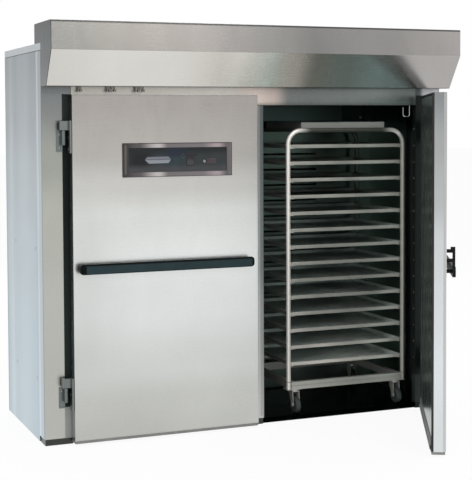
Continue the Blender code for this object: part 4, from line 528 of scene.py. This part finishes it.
# Painted light: the rack lighter towards the top.
rack = steel(
    "rack_steel", tones((0.0, 206, 201, 194), (0.25, 226, 222, 215), (1.8, 248, 244, 236)),
    rough=(0.30, 0.42), metal=0.35, fields=(RACK_HEAD_SHADE, RACK_RIGHT_SHADE, RACK_DEPTH_SHADE))
TRAY_LIGHT = field(
    srgb(255, 255, 252), 0.9, Y=(-0.350, 0.02, 0.06), X=(0.60, 1.00, 0.12), Z=below(1.05, 0.2))
TRAY_FRONT_RIM = field(srgb(180, 175, 166), 0.9, Y=below(TRAY_FRONT + 0.0045, 0.001))
TRAY_SHADE = field(
    srgb(120, 118, 112), 0.7, Z=above(1.30, 0.12), Y=above(TRAY_FRONT + 0.0055, 0.004))
tray = steel(
    "tray_steel", srgb(218, 226, 223), grain="Y", rough=(0.24, 0.40), cloud=0.40, metal=0.45,
    fields=(TRAY_LIGHT, TRAY_FRONT_RIM, TRAY_SHADE))
pan = steel("pan_steel", srgb(176, 177, 175), grain="Y", rough=(0.26, 0.42), cloud=0.08)
hinge = steel("hinge_steel", srgb(118, 124, 122), grain="X", rough=(0.22, 0.34), metal=0.9)
zinc = steel("caster_steel", srgb(176, 174, 168), grain="X", rough=(0.30, 0.46), cloud=0.12, metal=0.5)
element = steel("element_steel", srgb(96, 84, 76), grain="Y", rough=(0.36, 0.55), cloud=0.2)

# The control panel's bezel: painted highlights along it, painted dark reflections on its left and right
# ends, its top and its foot, and a painted highlight in a line beside the left end.

# Painted dark reflections on the ends, top and foot, and a painted highlight in a line.
BEZEL_LEFT_END_REFLECTION = field(srgb(70, 66, 66), 0.85, X=below(BEZEL_LOW.x + 0.0055, 0.001))
BEZEL_RIGHT_END_REFLECTION = field(srgb(70, 66, 66), 0.85, X=above(BEZEL_HIGH.x - 0.0050, 0.001))
BEZEL_LINE_HIGHLIGHT = field(srgb(112, 108, 107), 0.7, X=(-0.823, -0.811, 0.004), Z=(1.52, 1.69, 0.01))
BEZEL_TOP_REFLECTION = field(srgb(70, 64, 66), 0.8, Z=above(BEZEL_HIGH.z - 0.0050, 0.001))
BEZEL_FOOT_REFLECTION = field(srgb(84, 80, 80), 0.8, Z=below(BEZEL_LOW.z + 0.0040, 0.001))
# Painted highlights and dark reflections along X.
bezel = steel(
    "bezel_steel", tones(
        (-0.84, 60, 58, 58), (-0.74, 94, 90, 91), (-0.62, 188, 182, 181), (-0.56, 118, 113, 114),
        (-0.36, 124, 119, 121), (-0.26, 166, 153, 156), (-0.2, 106, 101, 103), (-0.16, 120, 116, 116)),
    along="X", grain="X", rough=(0.16, 0.24),
    fields=(BEZEL_LEFT_END_REFLECTION, BEZEL_RIGHT_END_REFLECTION, BEZEL_LINE_HIGHLIGHT, BEZEL_TOP_REFLECTION, BEZEL_FOOT_REFLECTION))

# Plastic and rubber. The breaker strips end in grey covers near the floor. The left strip has painted
# reflections near its top and lower down, the handle bar has painted shade underneath, and the right door's
# handle is a copy painted near black as shade.

FOOT_COVER = below(0.2130, 0.0005)
# Painted reflections on the left strip, lighter near the top and lower down.
STRIP_TOP_REFLECTION = field(srgb(38, 45, 43), Z=(1.80, 2.0, 0.05))
STRIP_FOOT_REFLECTION = field(srgb(22, 32, 29), Z=(0.0, 1.0, 0.3))
black = moulded(
    "black_plastic", srgb(6, 17, 15), (0.50, 0.64), shine=0.2,
    fields=(STRIP_TOP_REFLECTION, STRIP_FOOT_REFLECTION, field(srgb(150, 151, 148), Z=FOOT_COVER)))
black_open = moulded(
    "shaded_black_plastic", srgb(14, 24, 22), (0.40, 0.54), shine=0.2,
    fields=(field(srgb(44, 52, 50), Z=FOOT_COVER),))
gland = moulded("gland_plastic", srgb(20, 24, 24), (0.50, 0.64))
BAR_LEFT_END = field(srgb(0, 2, 3), X=below(HANDLE_LOW.x + 0.0365, 0.004))
BAR_RIGHT_END = field(srgb(6, 12, 12), X=above(HANDLE_HIGH.x - 0.0150, 0.003))
BAR_TOP = field(srgb(4, 10, 10), Z=above(HANDLE_HIGH.z - 0.0115, 0.0020))
# Painted shade on the bar's underside.
BAR_UNDERSIDE_SHADE = field(srgb(20, 30, 30), Z=below(HANDLE_LOW.z + 0.0045, 0.0015))
bar = moulded(
    "handle_plastic", srgb(42, 57, 60), shine=0.10,
    fields=(BAR_LEFT_END, BAR_RIGHT_END, BAR_TOP, BAR_UNDERSIDE_SHADE))
# The right door's handle: a shaded copy of the handle plastic, painted near black.
shaded_pull = moulded("shaded_pull_plastic", srgb(6, 9, 9), shine=0.15)
gasket = moulded("door_rubber", srgb(22, 25, 24), (0.62, 0.78))
sweep = moulded("sweep_rubber", srgb(132, 133, 130), (0.60, 0.74))
key_white = moulded("white_key", srgb(132, 131, 134), (0.36, 0.46))
key_red = moulded("red_lens", srgb(70, 60, 64), (0.30, 0.42), shine=0.25)
motor = moulded("motor_paint", srgb(62, 68, 74), (0.42, 0.56))
tyre = moulded("caster_tyre", srgb(58, 66, 64), (0.55, 0.70))

# The control panel's dark face, with soft reflections across it.

GLASS_LEFT = field(srgb(16, 18, 23), X=(-0.80, -0.66, 0.05))
GLASS_MIDDLE = field(srgb(38, 52, 56), X=(-0.60, -0.42, 0.06))
GLASS_FOOT = field(srgb(62, 63, 66), Z=below(1.565, 0.020))
GLASS_TOP = field(srgb(22, 28, 29), Z=above(1.640, 0.022))
GLASS_BLUE = field(srgb(24, 34, 48), Z=above(1.620, 0.014), X=(-0.57, -0.45, 0.03))
glass = moulded(
    "dark_glass", srgb(44, 50, 52), (0.12, 0.20), SMOOTH_GRAIN, shine=0.3,
    fields=(GLASS_LEFT, GLASS_MIDDLE, GLASS_FOOT, GLASS_TOP, GLASS_BLUE))

FINISHES = {
    front: ("left_door_skin",),
    front_open: ("right_door_skin",),
    core: ("left_door_inner_panel",),
    core_open: ("right_door_inner_panel",),
    bezel: ("control_bezel",),
    jamb: ("left_front_post", "right_front_post", "mullion_post"),
    header: ("header_panel",),
    side: ("left_side_wall", "right_side_wall"),
    rear: ("rear_wall",),
    roof: ("roof_panel",),
    hood: ("hood_shell",),
    shaded_liner: ("floor_base", "ceiling_plenum", "rear_duct_panel"),
    rack: ("rack_frame",),
    pan: ("humidifier_pan", "blower_wheel"),
    tray: TRAYS,
    hinge: tuple("%s_door_%s_hinge_strap" % (s, e) for s in ("left", "right") for e in ("lower", "upper")),
    zinc: ("rack_base", "front_left_caster_fork", "front_right_caster_fork"),
    element: ("air_heater",),
    black: ("left_breaker_strip",),
    black_open: ("right_breaker_strip",),
    gland: ("power_gland",),
    bar: ("left_door_handle",),
    shaded_pull: ("right_door_handle",),
    gasket: ("left_door_gasket", "right_door_gasket"),
    sweep: ("left_door_sweep", "right_door_sweep"),
    glass: ("control_face",),
    key_white: ("power_key",),
    key_red: ("start_key",),
    motor: ("blower_motor", "electrical_box"),
    tyre: tuple("%s_%s_caster_wheel" % (e, s) for e in ("front", "rear") for s in ("left", "right")),
}
for finish, names in FINISHES.items():
    for name in names:
        dress(name, finish)
assert sum(len(names) for names in FINISHES.values()) == len(NODES)


# Small pieces that the solids leave out, and their finishes.

screw = steel("screw_steel", srgb(150, 152, 150), grain="X", rough=(0.20, 0.32), metal=0.9)
weld = steel("weld_steel", srgb(120, 116, 112), rough=(0.34, 0.5), cloud=0.2, metal=0.5)
plate_grey = steel(
    "bare_plate_aluminium", tones(
        (1.575, 136, 141, 148), (1.599, 134, 139, 146), (1.604, 92, 94, 102), (1.611, 118, 120, 130),
        (1.625, 104, 106, 116)),
    grain="X", rough=(0.26, 0.38), metal=0.8)
seal = moulded("silicone_seal", srgb(176, 180, 182), (0.45, 0.60))
grey_cap = moulded("grey_cap", srgb(150, 154, 156), (0.42, 0.56))
dark_frame = moulded("display_frame", srgb(36, 33, 36), (0.30, 0.42), shine=0.3)
screen = moulded(
    "display_screen", srgb(64, 65, 68), (0.20, 0.30), SMOOTH_GRAIN, shine=0.25,
    fields=(field(srgb(42, 40, 43), Z=above(1.60, 0.012)),))
lens = moulded("pilot_lens", srgb(70, 84, 82), (0.20, 0.30), SMOOTH_GRAIN, shine=0.4)

DOORS = ((-1, "left", None), (1, "right", RIGHT_DOOR))
OUTWARDS = (0, -1, 0)
UPWARDS = (0, 0, 1)

# Round profiles as radius and height, from the foot outwards to the middle or back to the foot.

SCREW = (
    (0.0046, -0.0004), (0.0046, 0.0004), (0.0040, 0.0011), (0.0028, 0.0016), (0.0017, 0.0017),
    (0.0013, 0.0008), (0, 0.0008))
RIVET = ((0.0032, -0.0003), (0.0032, 0.0003), (0.0026, 0.0010), (0.0014, 0.0014), (0, 0.0015))
CAP = ((0.0120, -0.0004), (0.0120, 0.0010), (0.0112, 0.0018), (0.0080, 0.0022), (0, 0.0022))
ROSETTE = ((0.0114, 0), (0.0114, 0.0022), (0.0150, 0.0022), (0.0172, 0.0006), (0.0172, 0))
KEY_RING = ((0.0100, 0), (0.0100, 0.0012), (0.0112, 0.0016), (0.0126, 0.0010), (0.0126, 0))
LAMP_RING = ((0.0075, 0), (0.0075, 0.0016), (0.0090, 0.0022), (0.0104, 0.0012), (0.0104, 0))

# Outlines on the control face, as X and Z.

BARE_PLATE = (
    (-0.703, 1.603), (-0.677, 1.581), (-0.560, 1.583), (-0.545, 1.604), (-0.562, 1.621), (-0.688, 1.619))
DISPLAY_FRAME = ((-0.452, 1.566), (-0.404, 1.566), (-0.404, 1.624), (-0.452, 1.624))
DISPLAY_SCREEN = ((-0.448, 1.570), (-0.408, 1.570), (-0.408, 1.615), (-0.448, 1.615))
DISPLAY_HOOD = ((-0.462, 1.624), (-0.384, 1.624), (-0.388, 1.637), (-0.458, 1.637))


def piece(name, work, material, body, bevel=0.0, at=None):
    """A new piece made from a bmesh, with its edges rounded, that moves with a CAD body."""
    if at is not None:
        bmesh.ops.transform(work, matrix=at, verts=work.verts)
    bmesh.ops.recalc_face_normals(work, faces=work.faces)
    mesh = bpy.data.meshes.new(name)
    work.to_mesh(mesh)
    work.free()
    mesh.materials.append(material)
    for face in mesh.polygons:
        face.use_smooth = True
    mesh.set_sharp_from_angle(angle=math.radians(40))
    made = bpy.data.objects.new(name, mesh)
    bpy.context.scene.collection.objects.link(made)
    if bevel:
        rounding = made.modifiers.new("rounding", "BEVEL")
        rounding.width = bevel
        rounding.segments = 3
        rounding.limit_method = "ANGLE"
    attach(made, body)


def prism(work, outline, low, high):
    """A flat outline in X and Z, thickened along Y."""
    ends = [[work.verts.new((x, y, z)) for x, z in outline] for y in (low, high)]
    count = len(outline)
    work.faces.new(ends[0])
    work.faces.new(list(reversed(ends[1])))
    for index in range(count):
        after = (index + 1) % count
        work.faces.new((ends[0][index], ends[1][index], ends[1][after], ends[0][after]))


def turned(work, profile, place, axis, steps=20):
    """A round solid from a profile of radius and height, where the axis is the way that height grows."""
    turn = Vector((0, 0, 1)).rotation_difference(Vector(axis)).to_matrix().to_4x4()
    put = Matrix.Translation(Vector(place)) @ turn
    rings = []
    for radius, height in profile:
        if radius == 0:
            rings.append([work.verts.new(put @ Vector((0, 0, height)))])
            continue
        rings.append([
            work.verts.new(put @ Vector((radius * math.cos(a), radius * math.sin(a), height)))
            for a in (2 * math.pi * step / steps for step in range(steps))])
    for low, high in zip(rings, rings[1:]):
        for index in range(steps):
            after = (index + 1) % steps
            ring = (low[index % len(low)], low[after % len(low)],
                    high[after % len(high)], high[index % len(high)])
            work.faces.new(list(dict.fromkeys(ring)))


def heads(name, profile, places, axis, material, body, at=None, steps=20):
    """One piece of round heads, such as a row of screws."""
    work = bmesh.new()
    for place in places:
        turned(work, profile, place, axis, steps)
    piece(name, work, material, body, at=at)


def on_face(name, outline, back, front, material, bevel):
    """A flat piece on the control face, from one height to another in front of it."""
    work = bmesh.new()
    prism(work, outline, FACE_FRONT - front, FACE_FRONT - back)
    piece(name, work, material, "left_door", bevel)


def bead(name, paths, radius, material, body, closed=False):
    """Round beads along lines: silicone, welds and rolled rims."""
    curve = bpy.data.curves.new(name, "CURVE")
    curve.dimensions = "3D"
    curve.bevel_depth = radius
    curve.bevel_resolution = 2
    curve.use_fill_caps = True
    for path in paths:
        spline = curve.splines.new("POLY")
        spline.points.add(len(path) - 1)
        for point, place in zip(spline.points, path):
            point.co = (*place, 1.0)
        spline.use_cyclic_u = closed
    curve.materials.append(material)
    made = bpy.data.objects.new(name, curve)
    bpy.context.scene.collection.objects.link(made)
    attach(made, body)


def arc(x, y, z, radius, start, end, steps):
    """Points round a centre at one height, from one angle to before another."""
    angles = (math.radians(start + (end - start) * step / steps) for step in range(steps))
    return [(x + radius * math.cos(a), y + radius * math.sin(a), z) for a in angles]


def make_panel_pieces():
    """On the control panel: the bare plate, the display and its hood, two rings and the bezel's rivets."""
    on_face("bare_plate", BARE_PLATE, 0, 0.0014, plate_grey, 0.0004)
    on_face("display_frame", DISPLAY_FRAME, 0, 0.0016, dark_frame, 0.0005)
    on_face("display_screen", DISPLAY_SCREEN, 0.0010, 0.0022, screen, 0.0003)
    on_face("display_hood", DISPLAY_HOOD, 0, 0.0030, dark_frame, 0.0006)
    key_low, key_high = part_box("power_key")
    key = (key_low + key_high) / 2
    key_middle = (key.x, FACE_FRONT, key.z)
    heads("power_key_surround", KEY_RING, [key_middle], OUTWARDS, dark_frame, "left_door", steps=28)
    lamp_middle = (-0.4705, FACE_FRONT, 1.624)
    heads("pilot_lamp_ring", LAMP_RING, [lamp_middle], OUTWARDS, lens, "left_door", steps=24)
    inset = 0.011
    corners = [(x, BEZEL_LOW.y, z) for x in (BEZEL_LOW.x + inset, BEZEL_HIGH.x - inset)
               for z in (BEZEL_LOW.z + inset, BEZEL_HIGH.z - inset)]
    heads("bezel_screws", RIVET, corners, OUTWARDS, bezel, "left_door")


def make_hinge_pieces():
    """Screws in the hinge plates on the posts and in the straps on the doors' edges."""
    plate_x, plate_front, plate_rises = 1.1755, -0.4836, (0.030, 0.104)
    plates = [(side * plate_x, plate_front, foot + rise)
              for side in (-1, 1) for foot in STRAP_FEET for rise in plate_rises]
    heads("hinge_plate_screws", SCREW, plates, OUTWARDS, screw, "cabinet")
    strap_face, strap_middle = 1.1335, -0.516
    levels = [foot + rise for foot in STRAP_FEET for rise in (0.024, 0.089)]
    for side, word, at in DOORS:
        straps = [(side * strap_face, strap_middle, z) for z in levels]
        heads(word + "_strap_screws", SCREW, straps, (side, 0, 0), screw, word + "_door", at)


def make_strip_pieces():
    """The screws that hold the breaker strips, in rows at the pitch of the trays."""
    face, middle, first = STRIP_FACE - LIFT, -0.4560, 0.322
    for side, word, _ in DOORS:
        row = [(side * face, middle, first + TRAY_PITCH * step) for step in range(15)]
        heads(word + "_strip_screws", SCREW, row, (-side, 0, 0), screw, "cabinet")


def make_handle_pieces():
    """Rosettes where the handles' posts meet the doors."""
    inset = 0.060
    post_xs = (HANDLE_LOW.x + inset, (HANDLE_LOW.x + HANDLE_HIGH.x) / 2, HANDLE_HIGH.x - inset)
    post_z = (HANDLE_LOW.z + HANDLE_HIGH.z) / 2
    for side, word, at in DOORS:
        posts = [(-side * x, DOOR_LOW.y - LIFT, post_z) for x in post_xs]
        heads(word + "_handle_rosettes", ROSETTE, posts, OUTWARDS, screw, word + "_door", at)


def make_roof_pieces():
    """Screws and sealant on the hood's rear sheet, and the roof's joint cover with its rivets and caps."""
    first, pitch, screw_z = -1.20, 0.20, HOOD_HIGH.z - 0.018
    row = [(first + pitch * step, HOOD_HIGH.y + LIFT, screw_z) for step in range(13)]
    heads("hood_rear_screws", SCREW, row, (0, 1, 0), screw, "cabinet")
    seal_end, seal_radius = SIDE - 0.0065, 0.0032
    seal_line = [(side * seal_end, HOOD_HIGH.y + 0.0023, ROOF_TOP + 0.0005) for side in (-1, 1)]
    bead("hood_sealant", [seal_line], seal_radius, seal, "cabinet")
    foot, crest, cover_top = 0.024, 0.020, ROOF_TOP + 0.0016
    cover_front, cover_back = HOOD_HIGH.y + 0.0075, ROOF_HIGH.y - 0.0035
    work = bmesh.new()
    outline = ((-foot, ROOF_TOP), (foot, ROOF_TOP), (crest, cover_top), (-crest, cover_top))
    prism(work, outline, cover_front, cover_back)
    piece("roof_joint_cover", work, roof, "cabinet", 0.0004)
    rivet_x, first, pitch = 0.013, -0.30, 0.19
    rivets = [(side * rivet_x, first + pitch * step, cover_top) for side in (-1, 1) for step in range(5)]
    heads("roof_rivets", RIVET, rivets, UPWARDS, screw, "cabinet")
    cap_xs, cap_ys = (-1.19, -0.075, 0.075, 1.19), (-0.22, 0.40)
    caps = [(x, y, ROOF_TOP) for x in cap_xs for y in cap_ys]
    heads("roof_lock_caps", CAP, caps, UPWARDS, grey_cap, "cabinet")


def make_rack_pieces():
    """Rolled rims on the trays, and the welds that join the hoops to the rack's base."""
    rims = []
    corner, rim_height, rim_radius = 0.012, 0.0197, 0.0016
    side_inset, end_inset = 0.0022, 0.0015
    for name in TRAYS:
        low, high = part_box(name)
        left, right = low.x + side_inset + corner, high.x - side_inset - corner
        near, far = low.y + end_inset + corner, high.y - end_inset - corner
        rim = []
        for x, y, start in ((right, far, 0), (left, far, 90), (left, near, 180), (right, near, 270)):
            rim += arc(x, y, low.z + rim_height, corner, start, start + 120, 4)
        rims.append(rim)
    bead("tray_rims", rims, rim_radius, tray, "rack", closed=True)
    tube, ring, weld_radius, weld_z = 0.014, 0.0142, 0.0018, RACK_HIGH.z + 0.0005
    welds = [arc(x, y, weld_z, ring, 0, 360, 18)
             for x in (RACK_LOW.x + tube, RACK_HIGH.x - tube)
             for y in (RACK_LOW.y + tube, RACK_HIGH.y - tube)]
    bead("rack_welds", welds, weld_radius, weld, "rack", closed=True)


make_panel_pieces()
make_hinge_pieces()
make_strip_pieces()
make_handle_pieces()
make_roof_pieces()
make_rack_pieces()


# Floor, light and camera.

FLOOR_REACH = 60.0
FLOOR_GLOW = 0.93
SURROUND_LIGHT = 0.62
MIDDLE = (0.0, 0.0, 1.1)
LAMPS = (
    ("key_lamp", (-5.6, -6.2, 5.0), MIDDLE, (3.4, 3.0), 130),
    ("bay_lamp", (1.2, -6.6, 4.8), (0.7, 0.0, 0.9), (2.4, 2.0), 110),
    ("fill_lamp", (6.0, -3.5, 4.0), MIDDLE, (3.5, 3.0), 60),
    ("back_lamp", (1.0, 6.5, 4.5), MIDDLE, (4.0, 3.0), 150),
)
CAMERA_PLACE = (-2.8928, -7.3008, 1.8271)
CAMERA_YAW = math.radians(22.1823)
CAMERA_PITCH = math.radians(-2.6187)
CAMERA_ROLL = math.radians(-0.2468)


def make_stage():
    """A pale floor that keeps the object's shadow and runs out of every view."""
    mesh = bpy.data.meshes.new("studio_floor")
    corners = [(x * FLOOR_REACH, y * FLOOR_REACH, 0) for x, y in ((-1, -1), (1, -1), (1, 1), (-1, 1))]
    mesh.from_pydata(corners, [], [(0, 1, 2, 3)])
    floor = bpy.data.objects.new("studio_floor", mesh)
    bpy.context.scene.collection.objects.link(floor)
    g = Graph("studio_floor", roughness=0.9)
    g.set(g.shader, "Base Color", srgb(252, 252, 252))
    rays = g.new("ShaderNodeLightPath")
    glow = g.new("ShaderNodeEmission")
    g.set(glow, "Color", WHITE)
    g.set(glow, "Strength", 1.0)
    blend = g.new("ShaderNodeMixShader")
    seen = g.maths("MAXIMUM", rays.outputs["Is Camera Ray"], rays.outputs["Is Glossy Ray"])
    g.link(g.maths("MULTIPLY", seen, FLOOR_GLOW), blend.inputs[0])
    g.link(g.shader.outputs[0], blend.inputs[1])
    g.link(glow.outputs[0], blend.inputs[2])
    g.link(blend.outputs[0], g.tree.nodes["Material Output"].inputs["Surface"])
    mesh.materials.append(g.material)


def make_world():
    """A plain pale surround that is white to the camera and in reflections."""
    world = bpy.data.worlds.new("studio")
    world.use_nodes = True
    bpy.context.scene.world = world
    tree = world.node_tree
    tree.nodes.clear()
    rays = tree.nodes.new("ShaderNodeLightPath")
    seen = rays.outputs["Is Camera Ray"]
    for kind in ("Is Glossy Ray", "Is Transmission Ray"):
        larger = tree.nodes.new("ShaderNodeMath")
        larger.operation = "MAXIMUM"
        tree.links.new(seen, larger.inputs[0])
        tree.links.new(rays.outputs[kind], larger.inputs[1])
        seen = larger.outputs[0]
    blend = tree.nodes.new("ShaderNodeMixShader")
    tree.links.new(seen, blend.inputs[0])
    for index, strength in ((1, SURROUND_LIGHT), (2, 1.0)):
        light = tree.nodes.new("ShaderNodeBackground")
        light.inputs["Color"].default_value = WHITE
        light.inputs["Strength"].default_value = strength
        tree.links.new(light.outputs[0], blend.inputs[index])
    out = tree.nodes.new("ShaderNodeOutputWorld")
    tree.links.new(blend.outputs[0], out.inputs["Surface"])


def make_lamp(name, place, aim, size, power):
    data = bpy.data.lights.new(name, "AREA")
    data.shape = "RECTANGLE"
    data.size, data.size_y = size
    data.energy = power
    made = bpy.data.objects.new(name, data)
    made.location = place
    made.rotation_euler = (Vector(aim) - Vector(place)).to_track_quat("-Z", "Y").to_euler()
    bpy.context.scene.collection.objects.link(made)


def make_camera():
    """The photograph's view, fitted to the cabinet's edges."""
    data = bpy.data.cameras.new("photo_camera")
    data.lens = 93.614
    data.sensor_width = 36.0
    data.shift_y = -0.1312
    data.clip_end = 200.0
    made = bpy.data.objects.new("photo_camera", data)
    level = Vector((math.sin(CAMERA_YAW), math.cos(CAMERA_YAW), 0.0)) * math.cos(CAMERA_PITCH)
    ahead = level + Vector((0.0, 0.0, math.sin(CAMERA_PITCH)))
    right = Vector((math.cos(CAMERA_YAW), -math.sin(CAMERA_YAW), 0.0))
    above_it = right.cross(ahead)
    rolled_right = right * math.cos(CAMERA_ROLL) + above_it * math.sin(CAMERA_ROLL)
    rolled_up = above_it * math.cos(CAMERA_ROLL) - right * math.sin(CAMERA_ROLL)
    turn = Matrix((rolled_right, rolled_up, -ahead)).transposed()
    made.matrix_world = Matrix.Translation(CAMERA_PLACE) @ turn.to_4x4()
    bpy.context.scene.collection.objects.link(made)
    bpy.context.scene.camera = made


make_stage()
make_world()
for lamp in LAMPS:
    make_lamp(*lamp)
make_camera()
bpy.context.scene.view_settings.view_transform = "Standard"
